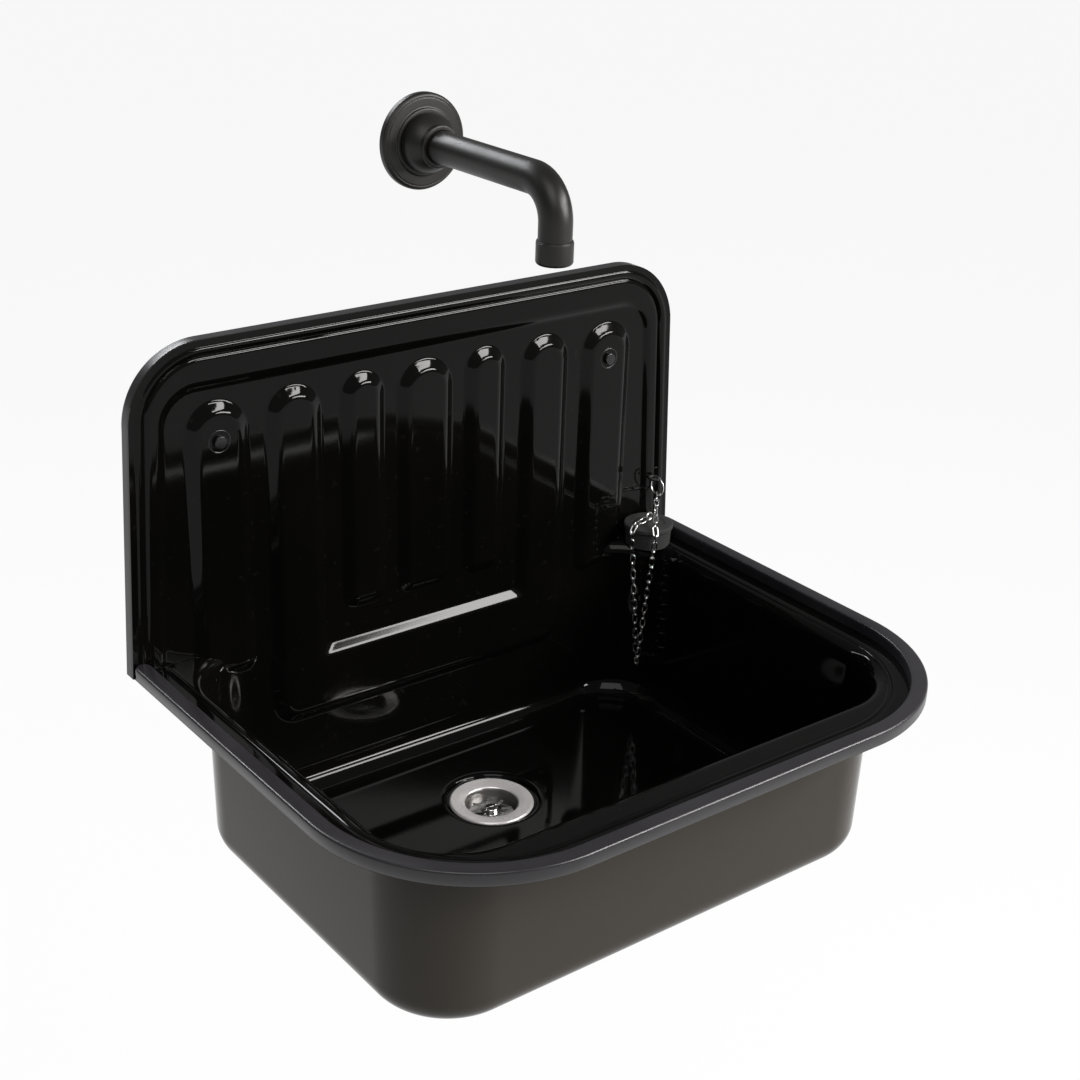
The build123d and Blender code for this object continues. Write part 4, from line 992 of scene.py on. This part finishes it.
@dataclass
class EdgeStrips:
    """The black strips that cap the basin's rim and the splashback's edge."""

    pressing: EnamelPressing = field(default_factory=EnamelPressing)
    width: float = 12.5
    leg: float = 1.8
    outer_drop: float = 10.0
    inner_drop: float = 11.0
    crown: float = 0.22
    crown_low: float = -3.0
    start: float = 10.9
    end_round: float = 6.1
    end_share: float = 0.02
    splash_width: float = 5.5
    splash_front: float = 10.3
    splash_back: float = 0.4
    band_face: float = 9.0

    def rim_profile(self) -> list[tuple[float, float]]:
        """Closed section of the rim strip.

        Returns:
            Points as inset and height.
        """
        outer = rounded([(0.0, -self.outer_drop + 0.5), (0.0, 0.0), (self.width, 0.0),
                         (self.width, -self.inner_drop)], 2.3, 6)
        crowned = [(i, z - self.crown * ((i - self.width / 2) / (self.width / 2)) ** 2 if z > self.crown_low else z)
                   for i, z in outer]
        inner = [(self.width - self.leg, -self.inner_drop), (self.width - self.leg, -self.leg),
                 (self.leg, -self.leg), (self.leg, -self.outer_drop), (0.4, -self.outer_drop)]
        return crowned + inner

    def rim_path(self, inset: float, columns: np.ndarray) -> np.ndarray:
        """Point of the rim's plan at each place along it, drawn in by an inset.

        Args:
            inset: Distance in from the rim.
            columns: Distances along the rim, from the right end, in millimetres.

        Returns:
            Plan points.
        """
        p = self.pressing
        straight = p.rim_front - p.rim_corner - self.start
        arc = math.pi / 2 * p.rim_corner
        turn = np.clip((columns - straight) / p.rim_corner, 0, math.pi / 2)
        radius = p.rim_corner - inset
        x = p.rim_half - p.rim_corner + radius * np.cos(turn)
        y = -(self.start + np.minimum(columns, straight)) - radius * np.sin(turn)
        x = x - np.maximum(columns - straight - arc, 0)
        return np.stack([x, y], -1)

    def rim_columns(self) -> np.ndarray:
        """Distances along half of the rim at which the strip has a ring.

        Returns:
            Distances from the right end, in millimetres.
        """
        p = self.pressing
        straight = p.rim_front - p.rim_corner - self.start
        arc = math.pi / 2 * p.rim_corner
        rest = p.rim_half - p.rim_corner
        ends = self.end_round * (1 - np.cos(np.linspace(0, math.pi / 2, 10)))
        return np.concatenate([
            ends, np.linspace(self.end_round, straight, 30)[1:], np.linspace(straight, straight + arc, 60)[1:],
            np.linspace(straight + arc, straight + arc + rest, 16)[1:],
        ])

    def build_rim(self) -> bpy.types.Object:
        """Make the rim strip, with round ends that narrow to an open slit.

        Returns:
            The finished piece.
        """
        columns = self.rim_columns()
        near = np.clip(columns / self.end_round, 0, 1)
        narrow = np.sqrt(1 - (1 - near) ** 2)
        narrow[0] = self.end_share
        middle = self.width / 2
        rows = []
        for inset, z in self.rim_profile():
            points = np.zeros((len(columns), 3))
            for k, share in enumerate(narrow):
                points[k, :2] = self.rim_path(middle + (inset - middle) * share, columns[k:k + 1])[0]
            points[:, 2] = z
            rows.append(points)
        grid = np.stack(rows)
        skin = Skin()
        skin.add_grid(grid, along=True)
        skin.add_grid(grid * MIRROR, along=True, flip=True)
        piece = skin.piece("rim_strip", crease=40)
        return settle(piece, EDGE_STRIP, nodes=("rim_edge_strip",))

    def splash_profile(self) -> list[tuple[float, float]]:
        """Closed section of the splashback's strip.

        Returns:
            Points as inset and distance from the wall.
        """
        outer = rounded([(0.0, self.splash_back), (0.0, self.splash_front),
                         (self.splash_width, self.splash_front), (self.splash_width, self.band_face - 1.2)],
                        2.0, 6)
        return outer + [(self.leg, self.band_face - 1.2), (self.leg, self.splash_back)]

    def build_splash(self) -> bpy.types.Object:
        """Make the strip round the splashback.

        Returns:
            The finished piece.
        """
        outline = self.pressing.relief.outline
        cx, cz = outline.corner_centre(0.0, 0.0, outline.corner)
        rise = np.linspace(outline.low, cz, 46)
        turn = np.linspace(0, math.pi / 2, 40)[1:]
        flat = np.linspace(1, 0, 24)[1:]
        rows = []
        for inset, out in self.splash_profile():
            radius = outline.corner - inset
            plan = np.concatenate([
                np.stack([outline.half(rise) - inset, rise], -1),
                np.stack([cx + radius * np.cos(turn), cz + radius * np.sin(turn)], -1),
                np.stack([cx * flat, np.full_like(flat, outline.top - inset)], -1),
            ])
            rows.append(np.stack([plan[:, 0], np.full(len(plan), -out), plan[:, 1]], -1))
        grid = np.stack(rows)
        skin = Skin()
        skin.add_grid(grid, along=True, flip=True)
        skin.add_grid(grid * MIRROR, along=True)
        for side, flip in ((1.0, False), (-1.0, True)):
            skin.add_cap(grid[:, 0] * np.array([side, 1.0, 1.0]), flip=flip)
        piece = skin.piece("splash_strip", crease=40)
        return settle(piece, EDGE_STRIP, nodes=("splashback_edge_strip",))


@dataclass
class WallFixings:
    """Screw caps, and the fixings behind the splashback that keep their solids."""

    x: float = 178.5
    face: float = 11.5
    ring_bore: float = 3.3
    ring_radius: float = 9.8
    ring_height: float = 2.4
    button_radius: float = 4.9
    floor: float = 12.7
    button_height: float = 3.6
    bore: float = 4.25

    def build(self) -> None:
        """Make the caps, which have no back, and dress the hidden fixings."""
        ring = rounded([
            (self.ring_bore, self.floor), (self.button_radius + 0.5, self.floor),
            (self.button_radius + 2.0, self.floor + 0.35),
            (self.ring_radius - 1.3, self.face + self.ring_height), (self.ring_radius, self.face + 0.9),
            (self.ring_radius, self.face),
        ], 0.7, 5)
        button = rounded([
            (self.bore, self.floor + 0.1), (self.button_radius, self.floor + 0.1),
            (self.button_radius, self.floor + self.button_height), (POLE, self.floor + self.button_height + 0.1),
        ], 0.9, 6)
        height = -ROW.rim_height / ROW.metres_per_mm
        for name, profile, node in (
            ("screw_cap_ring", ring, "screw_cap_bases"), ("screw_cap_button", button, "screw_cap_buttons"),
        ):
            skin = Skin()
            for side in (-1, 1):
                part = turned(profile, (side * self.x, 0.0, height), facing_out=True, segments=72)
                skin.add(np.concatenate(part.blocks), part.faces)
            settle(skin.piece(name, crease=45), CAP_PLASTIC, nodes=(node,))
        for node, finish in (
            ("wall_screws", ZINC), ("wall_spacers", NYLON), ("rear_buffers", SEAL_RUBBER),
        ):
            dress_node(node, finish)


@dataclass
class Waste:
    """Flanged waste in the floor, and its body below."""

    y: float = -106.5
    top: float = -154.4
    painted_shade_depth: float = 2.4
    under: float = -157.0
    flange_radius: float = 34.0
    lip_radius: float = 26.5
    mouth_radius: float = 21.3
    throat_radius: float = 20.3
    throat_wall: float = 1.4
    throat_end: float = -167.0
    seat: float = 1.6
    body_top: float = -163.0
    body_flange: float = 4.0
    body_radius: float = 31.5
    thread_radius: float = 23.9
    thread_depth: float = 1.0
    thread_pitch: float = 2.3
    body_low: float = -209.0
    body_bore: float = 21.9
    boss_bore: float = 3.1
    boss_radius: float = 6.0
    arm_top: float = -174.0
    arm_foot: float = -183.0
    arm_start: float = 5.0
    arm_run_in: float = 0.4
    arm_half: float = 1.75
    arm_flat: float = 1.2
    arm_edge: float = 0.5

    def build(self) -> None:
        """Make the flange and the threaded body, and dress the pieces that keep their solids."""
        outer = self.throat_radius + self.throat_wall
        flange = rounded([
            (outer, self.throat_end), (outer, self.under), (self.flange_radius - 0.2, self.under),
            (self.flange_radius, self.under + 0.9), (self.flange_radius - 0.9, self.top - 0.3),
            (self.flange_radius - 1.9, self.top), (self.lip_radius, self.top - 0.7),
            (self.mouth_radius + 0.9, self.top - 1.5), (self.mouth_radius - 0.1, self.top - 2.6),
            (self.throat_radius, self.top - 4.0), (self.throat_radius, self.throat_end + self.seat),
            (self.throat_radius - self.seat, self.throat_end + self.seat),
            (self.throat_radius - self.seat, self.throat_end),
        ], 0.8, 6)
        skin = turned(flange, (0.0, self.y, 0.0), closed=True, flip=True, segments=160)
        piece = skin.piece("waste_dished_flange", crease=60)
        # Points below this height, down the throat and under the flange, take a darker grey: painted shade in the
        # throat.
        brim = float(ROW.place(np.array([0.0, 0.0, self.top - self.painted_shade_depth]))[2])
        mark_back_and_shade(piece.data, [float(v.co.z < brim) for v in piece.data.vertices])
        settle(piece, SATIN_STEEL, nodes=("waste_flange",))
        thread = threaded(self.thread_radius, self.thread_depth, self.thread_pitch, self.body_low,
                          self.body_top - self.body_flange)
        body = Skin()
        body.add_grid(thread + np.array([0.0, self.y, 0.0]), around=True)
        collar = rounded([
            (self.thread_radius, self.body_top - self.body_flange),
            (self.body_radius, self.body_top - self.body_flange),
            (self.body_radius, self.body_top), (self.body_bore, self.body_top),
            (self.body_bore, self.body_low), (self.thread_radius, self.body_low),
        ], 0.7, 4)
        part = turned(collar, (0.0, self.y, 0.0), segments=96)
        body.add(np.concatenate(part.blocks), part.faces)
        self.add_arms(body)
        settle(body.piece("waste_threaded_body", crease=40), WASTE_PLASTIC, nodes=("waste_body",))
        for node, finish in (
            ("waste_grid", CHROME), ("waste_screw", CHROME), ("upper_gasket", SEAL_RUBBER),
            ("lower_gasket", SEAL_RUBBER),
        ):
            dress_node(node, finish)

    def add_arms(self, body: Skin) -> None:
        """Add the boss for the centre screw and its four arms, whose open ends lie inside boss and wall.

        Args:
            body: Skin of the waste's body.
        """
        high, low = self.arm_top, self.arm_foot
        half, flat, edge = self.arm_half, self.arm_flat, self.arm_edge
        profile = [(self.boss_bore, low), (self.boss_radius, low), (self.boss_radius, high), (self.boss_bore, high)]
        boss = turned(rounded(profile, 0.6, 4), (0.0, self.y, 0.0), closed=True, segments=48)
        body.add(np.concatenate(boss.blocks), boss.faces)
        for quarter in range(4):
            angle = quarter * math.pi / 2
            along = np.array([math.cos(angle), math.sin(angle), 0.0])
            across = np.array([-along[1], along[0], 0.0])
            section = [(-half, low + edge), (-flat, low), (flat, low), (half, low + edge),
                       (half, high - edge), (flat, high), (-flat, high), (-half, high - edge)]
            rows = [[along * r + across * s + np.array([0.0, self.y, z]) for s, z in section]
                    for r in (self.arm_start, self.body_bore + self.arm_run_in)]
            body.add_grid(np.array(rows), around=True, flip=True)


@dataclass
class ChainAndPlug:
    """Rubber plug, its chain of oval links, and the stay on the splashback."""

    x: float = 217.5
    y: float = -31.0
    foot: float = -10.15
    height: float = 19.5
    foot_radius: float = 19.0
    waist_radius: float = 19.9
    top_radius: float = 21.2
    lip: float = 5.0
    hollow_radius: float = 14.5
    hollow_depth: float = 12.0
    eye_hole: float = 0.75
    eye_depth: float = 5.9
    wire: float = 1.2
    width: float = 5.2
    length: float = 10.2
    bend_steps: int = 12
    wire_steps: int = 12

    def build_plug(self) -> None:
        """Make the plug with its rolled lip and soft edges."""
        top = self.foot + self.height
        lip = top - self.lip
        profile = rounded([
            (POLE, self.foot + self.hollow_depth), (self.hollow_radius - 2.0, self.foot + self.hollow_depth),
            (self.hollow_radius, self.foot), (self.foot_radius, self.foot), (self.waist_radius, lip),
            (self.top_radius, lip + 0.9), (self.top_radius, top - 0.6), (self.top_radius - 1.6, top),
            (self.top_radius - 7.0, top), (self.top_radius - 8.0, top - 0.5), (5.0, top - 0.5), (4.2, top),
            (self.eye_hole, top), (self.eye_hole, top - self.eye_depth), (POLE, top - self.eye_depth),
        ], 1.0, 5)
        skin = turned(profile, (self.x, self.y, 0.0), segments=112)
        piece = skin.piece("plug_moulding", crease=60)
        settle(piece, PLUG_RUBBER, body="plug", nodes=("plug_body",))

    def link(self, length: float, width: float, wire: float) -> Skin:
        """One oval link about the origin, long along the upward axis.

        Args:
            length: Overall length.
            width: Overall width.
            wire: Thickness of the wire.

        Returns:
            The link's skin.
        """
        bend = width / 2 - wire / 2
        half = length / 2 - width / 2
        path = []
        for start, middle in ((0.0, half), (math.pi, -half)):
            for k in range(self.bend_steps + 1):
                a = start + math.pi * k / self.bend_steps
                path.append((bend * math.cos(a), middle + bend * math.sin(a), math.cos(a), math.sin(a)))
        rows = []
        for x, z, nx, nz in path:
            ring = []
            for k in range(self.wire_steps):
                a = 2 * math.pi * k / self.wire_steps
                out = wire / 2 * math.cos(a)
                ring.append((x + nx * out, wire / 2 * math.sin(a), z + nz * out))
            rows.append(ring)
        skin = Skin()
        skin.add_grid(np.array(rows), around=True, along=True)
        return skin

    def build_strand(self, node: str, body: str) -> None:
        """Make smooth links where a node has its links.

        Args:
            node: Node that holds the strand's solids.
            body: Body that the strand rides on.
        """
        model = self.link(self.length, self.width, self.wire)
        shape = np.concatenate(model.blocks)
        strand = Skin()
        for part in loose_parts(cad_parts[node].data):
            points = part / ROW.metres_per_mm
            points[:, 2] -= ROW.rim_height / ROW.metres_per_mm
            turned_axes = np.linalg.eigh(np.cov((points - points.mean(0)).T))[1]
            axes = np.stack([turned_axes[:, 1], turned_axes[:, 0], turned_axes[:, 2]])
            local = (points - points.mean(0)) @ axes.T
            middle = points.mean(0) + ((local.max(0) + local.min(0)) / 2) @ axes
            scale = (local.max(0) - local.min(0)) / (shape.max(0) - shape.min(0))
            if np.linalg.det(axes) < 0:
                axes[1] *= -1
            strand.add((shape * scale) @ axes + middle, model.faces)
        piece = strand.piece(node + "_links", weld=0.0001, crease=80)
        settle(piece, CHAIN_STEEL, body=body, nodes=(node,))

    def build(self) -> None:
        """Make the plug and the chain, and dress the small fittings."""
        self.build_plug()
        for node, body in (
            ("chain_lead", "lead"), ("chain_over_plug", "plug"), ("chain_front_strand", "chain_loop"),
            ("chain_rear_strand", "chain_loop"),
        ):
            self.build_strand(node, body)
        for node, finish in (
            ("plug_eye", CHAIN_STEEL), ("chain_hook", CHAIN_STEEL), ("stay_ring", CHAIN_STEEL),
            ("stay_eye", STAY_BLACK), ("stay_nut", ZINC),
        ):
            dress_node(node, finish)


def loose_parts(mesh: bpy.types.Mesh) -> list[np.ndarray]:
    """Points of each separate solid of a mesh.

    Args:
        mesh: Mesh of a node.

    Returns:
        One array of points for each solid, in a steady order.
    """
    points = np.array([v.co for v in mesh.vertices], float)
    keys: dict[tuple[int, int, int], int] = {}
    owner = [keys.setdefault(tuple(np.round(p * 1e6).astype(int)), i) for i, p in enumerate(points)]
    parent = list(range(len(points)))

    def root(i: int) -> int:
        """Find the group of a point.

        Args:
            i: Number of the point.

        Returns:
            Number of the point that stands for its group.
        """
        while parent[i] != i:
            parent[i] = parent[parent[i]]
            i = parent[i]
        return i

    for face in mesh.polygons:
        first = root(owner[face.vertices[0]])
        for other in face.vertices[1:]:
            parent[root(owner[other])] = first
    groups: dict[int, list[int]] = {}
    for i in range(len(points)):
        groups.setdefault(root(owner[i]), []).append(i)
    return [points[group] for group in groups.values()]


@dataclass
class WallSpout:
    """Wall spout: rose, bell collar, bent tube and aerator."""

    z: float = 352.0
    reach: float = 163.0
    tube_radius: float = 11.8
    wall: float = 2.0
    bend: float = 26.0
    outlet: float = 298.0
    rose_radius: float = 35.2
    rose_thickness: float = 7.0
    step_radius: float = 24.5
    rose_face: float = 8.6
    hole: float = 13.7
    collar_radius: float = 21.8
    lip_radius: float = 15.0
    collar_end: float = 25.1
    collar_lip: float = 2.4
    aerator_radius: float = 13.0
    aerator_height: float = 16.6
    aerator_bore: float = 9.3
    tube_start: float = 18.0
    tube_rise: float = 6.0

    def build_rose(self) -> None:
        """Make the wall rose with its bevel, groove and step."""
        t = self.rose_thickness
        profile = rounded([
            (self.hole, 0.3), (self.rose_radius - 0.5, 0.0), (self.rose_radius, 0.7),
            (self.rose_radius, t - 2.2), (self.rose_radius - 0.9, t - 1.0), (self.rose_radius - 2.4, t - 0.25),
            (self.rose_radius - 3.4, t - 0.45), (self.rose_radius - 4.0, t), (self.step_radius + 0.8, t),
            (self.step_radius, t + 0.3), (self.step_radius, self.rose_face - 0.5),
            (self.step_radius - 0.8, self.rose_face), (self.hole, self.rose_face),
        ], 0.8, 5)
        skin = turned(profile, (0.0, 0.0, self.z), facing_out=True, segments=144, closed=True, flip=True)
        settle(skin.piece("spout_rose_disc", crease=50), SPOUT_BLACK, nodes=("spout_rose",))

    def build_collar(self) -> None:
        """Make the bell collar with its lip."""
        face, end, lip = self.rose_face, self.collar_end, self.collar_lip
        bell = [(self.collar_radius - 0.6, face), (self.collar_radius, face + 0.7)]
        for k in range(12):
            t = k / 11
            curve = math.cos(t * math.pi / 2) ** 0.9
            radius = self.lip_radius + 0.1 + (self.collar_radius - self.lip_radius - 0.1) * curve
            bell.append((radius, face + 3.0 + (end - face - 4.2) * t))
        profile = rounded(bell + [
            (self.lip_radius + 0.6, end - 0.7), (self.lip_radius + 0.6, end + lip - 0.7),
            (self.lip_radius - 0.3, end + lip), (self.tube_radius + 0.1, end + lip), (self.tube_radius + 0.1, face),
        ], 0.7, 4)
        skin = turned(profile, (0.0, 0.0, self.z), facing_out=True, segments=128, closed=True, flip=True)
        settle(skin.piece("spout_bell_collar", crease=50), SPOUT_BLACK, nodes=("spout_collar",))

    def build_tube(self) -> None:
        """Make the outer and inner wall of the bent tube, both open at the ends."""
        low = self.outlet + self.tube_rise
        line: list[tuple[np.ndarray, np.ndarray]] = []
        for out in np.linspace(self.tube_start, self.reach - self.bend, 24):
            line.append((np.array([0.0, -out, self.z]), np.array([0.0, 0.0, 1.0])))
        for turn in np.linspace(0, math.pi / 2, 30)[1:]:
            centre = np.array([0.0, -(self.reach - self.bend), self.z - self.bend])
            away = np.array([0.0, -math.sin(turn), math.cos(turn)])
            line.append((centre + away * self.bend, away))
        for z in np.linspace(self.z - self.bend, low, 8)[1:]:
            line.append((np.array([0.0, -self.reach, z]), np.array([0.0, -1.0, 0.0])))
        side = np.array([1.0, 0.0, 0.0])
        angles = np.linspace(0, 2 * math.pi, 64, endpoint=False)
        skin = Skin()
        for radius, flip in ((self.tube_radius, True), (self.tube_radius - self.wall, False)):
            rows = [[point + radius * (math.cos(a) * away + math.sin(a) * side) for a in angles]
                    for point, away in line]
            skin.add_grid(np.array(rows), around=True, flip=flip)
        settle(skin.piece("spout_bent_tube", crease=60), SPOUT_BLACK, nodes=("spout_tube",))

    def build_aerator(self) -> None:
        """Make the aerator's housing."""
        low, r = self.outlet, self.aerator_radius
        top = low + self.aerator_height
        profile = rounded([
            (self.aerator_bore, low + 1.9), (self.aerator_bore, low), (r - 1.4, low), (r, low + 1.6),
            (r, top - 1.3), (r - 0.35, top - 1.0), (r - 0.35, top - 0.3), (r - 0.9, top),
            (self.tube_radius - 0.4, top), (self.tube_radius - 0.8, low + 1.9),
        ], 0.8, 5)
        skin = turned(profile, (0.0, -self.reach, 0.0), segments=112, closed=True)
        settle(skin.piece("aerator_sleeve", crease=50), SPOUT_BLACK, nodes=("aerator_housing",))

    def build(self) -> None:
        """Make the spout's pieces and dress those that keep their solids."""
        self.build_rose()
        self.build_collar()
        self.build_tube()
        self.build_aerator()
        for node, finish in (
            ("spout_grub_screw", STAY_BLACK), ("spout_nipple", BRASS), ("spout_o_ring", SEAL_RUBBER),
            ("aerator_insert", AERATOR_PLASTIC), ("aerator_seal", SEAL_RUBBER),
        ):
            dress_node(node, finish)


@dataclass
class Studio:
    """Floor, lamps, world and camera, in metres and degrees."""

    floor_height: float = -1.0085
    floor_reach: float = 24.0
    floor_roughness: float = 0.9
    frame_pixels: float = 1080.0
    focal_pixels: float = 1776.0
    sensor: float = 36.0
    near_clip: float = 0.01
    far_clip: float = 80.0
    place: Point = (-0.7235, -1.0812, 0.4560)
    world_strength: float = 0.22
    floor_tone: float = 0.80
    floor_glow: float = 0.92
    bearing: float = 38.08
    dip: float = 23.99
    roll: float = 1.96

    def build_camera(self) -> None:
        """Set the camera at the photograph's angle."""
        data = bpy.data.cameras.new("photo_camera")
        data.sensor_width = self.sensor
        data.lens = self.focal_pixels / self.frame_pixels * self.sensor
        data.clip_start = self.near_clip
        data.clip_end = self.far_clip
        az, el, roll = (math.radians(a) for a in (self.bearing, self.dip, self.roll))
        ahead = Vector((math.cos(el) * math.sin(az), math.cos(el) * math.cos(az), -math.sin(el)))
        level = Vector((math.cos(az), -math.sin(az), 0.0))
        upward = level.cross(ahead)
        right = level * math.cos(roll) + upward * math.sin(roll)
        up = upward * math.cos(roll) - level * math.sin(roll)
        turn = Matrix((right, up, -ahead)).transposed().to_4x4()
        camera = bpy.data.objects.new("photo_camera", data)
        camera.matrix_world = Matrix.Translation(self.place) @ turn
        bpy.context.scene.collection.objects.link(camera)
        bpy.context.scene.camera = camera

    def add_lamp(
        self, name: str, place: Point, target: Point, size: tuple[float, float], power: float, tint: Colour,
        shape: LampFace = LampFace.RECTANGLE,
    ) -> None:
        """Add one soft lamp.

        Args:
            name: Name of the lamp.
            place: Where it stands.
            target: Point that it faces.
            size: Its width and height.
            power: Its power in watts.
            tint: Its colour.
            shape: Outline of its face.
        """
        data = bpy.data.lights.new(name, "AREA")
        data.shape = shape.value
        data.size, data.size_y = size
        data.energy = power
        data.color = tint
        lamp = bpy.data.objects.new(name, data)
        aim = (Vector(target) - Vector(place)).to_track_quat("-Z", "Y")
        lamp.matrix_world = Matrix.Translation(place) @ aim.to_matrix().to_4x4()
        bpy.context.scene.collection.objects.link(lamp)

    def build_floor(self) -> None:
        """Lay a plain pale floor that keeps the object's shadow."""
        steps = np.linspace(-self.floor_reach, self.floor_reach, 9) / ROW.metres_per_mm
        height = (self.floor_height - ROW.rim_height) / ROW.metres_per_mm
        x, y = np.meshgrid(steps, steps)
        skin = Skin()
        skin.add_grid(np.stack([x, y, np.full_like(x, height)], -1))
        floor = skin.piece("floor")
        material = bpy.data.materials.new("pale_floor")
        material.use_nodes = True
        tree = material.node_tree
        shader = tree.nodes["Principled BSDF"]
        shader.inputs["Roughness"].default_value = self.floor_roughness
        shader.inputs["Base Color"].default_value = (self.floor_tone, self.floor_tone, self.floor_tone, 1.0)
        seen = self.seen_rays(tree)
        glow = tree.nodes.new("ShaderNodeEmission")
        glow.inputs["Color"].default_value = (1.0, 1.0, 1.0, 1.0)
        glow.inputs["Strength"].default_value = 1.0
        share = tree.nodes.new("ShaderNodeMath")
        share.operation = "MULTIPLY"
        share.inputs[1].default_value = self.floor_glow
        mix = tree.nodes.new("ShaderNodeMixShader")
        tree.links.new(seen, share.inputs[0])
        tree.links.new(share.outputs[0], mix.inputs["Fac"])
        tree.links.new(shader.outputs[0], mix.inputs[1])
        tree.links.new(glow.outputs[0], mix.inputs[2])
        tree.links.new(mix.outputs[0], tree.nodes["Material Output"].inputs["Surface"])
        floor.data.materials.append(material)

    def seen_rays(self, tree: bpy.types.NodeTree) -> bpy.types.NodeSocket:
        """Pick the rays that see the background.

        Args:
            tree: Node tree of a material or the world.

        Returns:
            Socket that is one for camera, glossy and transmission rays.
        """
        path = tree.nodes.new("ShaderNodeLightPath")
        total = path.outputs["Is Camera Ray"]
        for name in ("Is Glossy Ray", "Is Transmission Ray"):
            pick = tree.nodes.new("ShaderNodeMath")
            pick.operation = "MAXIMUM"
            tree.links.new(total, pick.inputs[0])
            tree.links.new(path.outputs[name], pick.inputs[1])
            total = pick.outputs[0]
        return total

    def build_world(self) -> None:
        """Set a dim, even world."""
        world = bpy.data.worlds.new("studio")
        world.use_nodes = True
        back = world.node_tree.nodes["Background"]
        back.inputs["Color"].default_value = (0.98, 0.99, 1.0, 1.0)
        back.inputs["Strength"].default_value = self.world_strength
        bpy.context.scene.world = world

    def build(self) -> None:
        """Make the whole studio."""
        bpy.context.scene.view_settings.view_transform = "Standard"
        self.build_camera()
        self.build_world()
        self.build_floor()
        warm, cool = (1.0, 0.985, 0.97), (0.97, 0.98, 1.0)
        self.add_lamp("low_strip_lamp", (1.15, -1.70, 0.54), (0.0, 0.0, -0.1), (1.25, 0.21), 25.0, warm,
                      shape=LampFace.ELLIPSE)
        self.add_lamp("high_strip_lamp", (1.26, -1.62, 1.18), (0.0, 0.0, 0.0), (2.0, 0.26), 56.0, warm)
        self.add_lamp("rear_strip_lamp", (-0.3, 1.70, 1.5), (0.0, -0.2, -0.1), (1.5, 0.3), 34.0, cool)
        self.add_lamp("left_softbox", (-0.9, -1.2, 1.7), (0.0, -0.1, -0.1), (1.4, 1.4), 18.0, warm)


def main() -> None:
    """Build every part of the scene in order."""
    logging.basicConfig(level=logging.INFO, format="%(name)s: %(message)s")
    Studio().build()
    pressing = EnamelPressing()
    pressing.build()
    pressing.build_ledges()
    strips = EdgeStrips()
    strips.build_rim()
    strips.build_splash()
    WallFixings().build()
    Waste().build()
    ChainAndPlug().build()
    WallSpout().build()


if __name__ == "__main__":
    main()
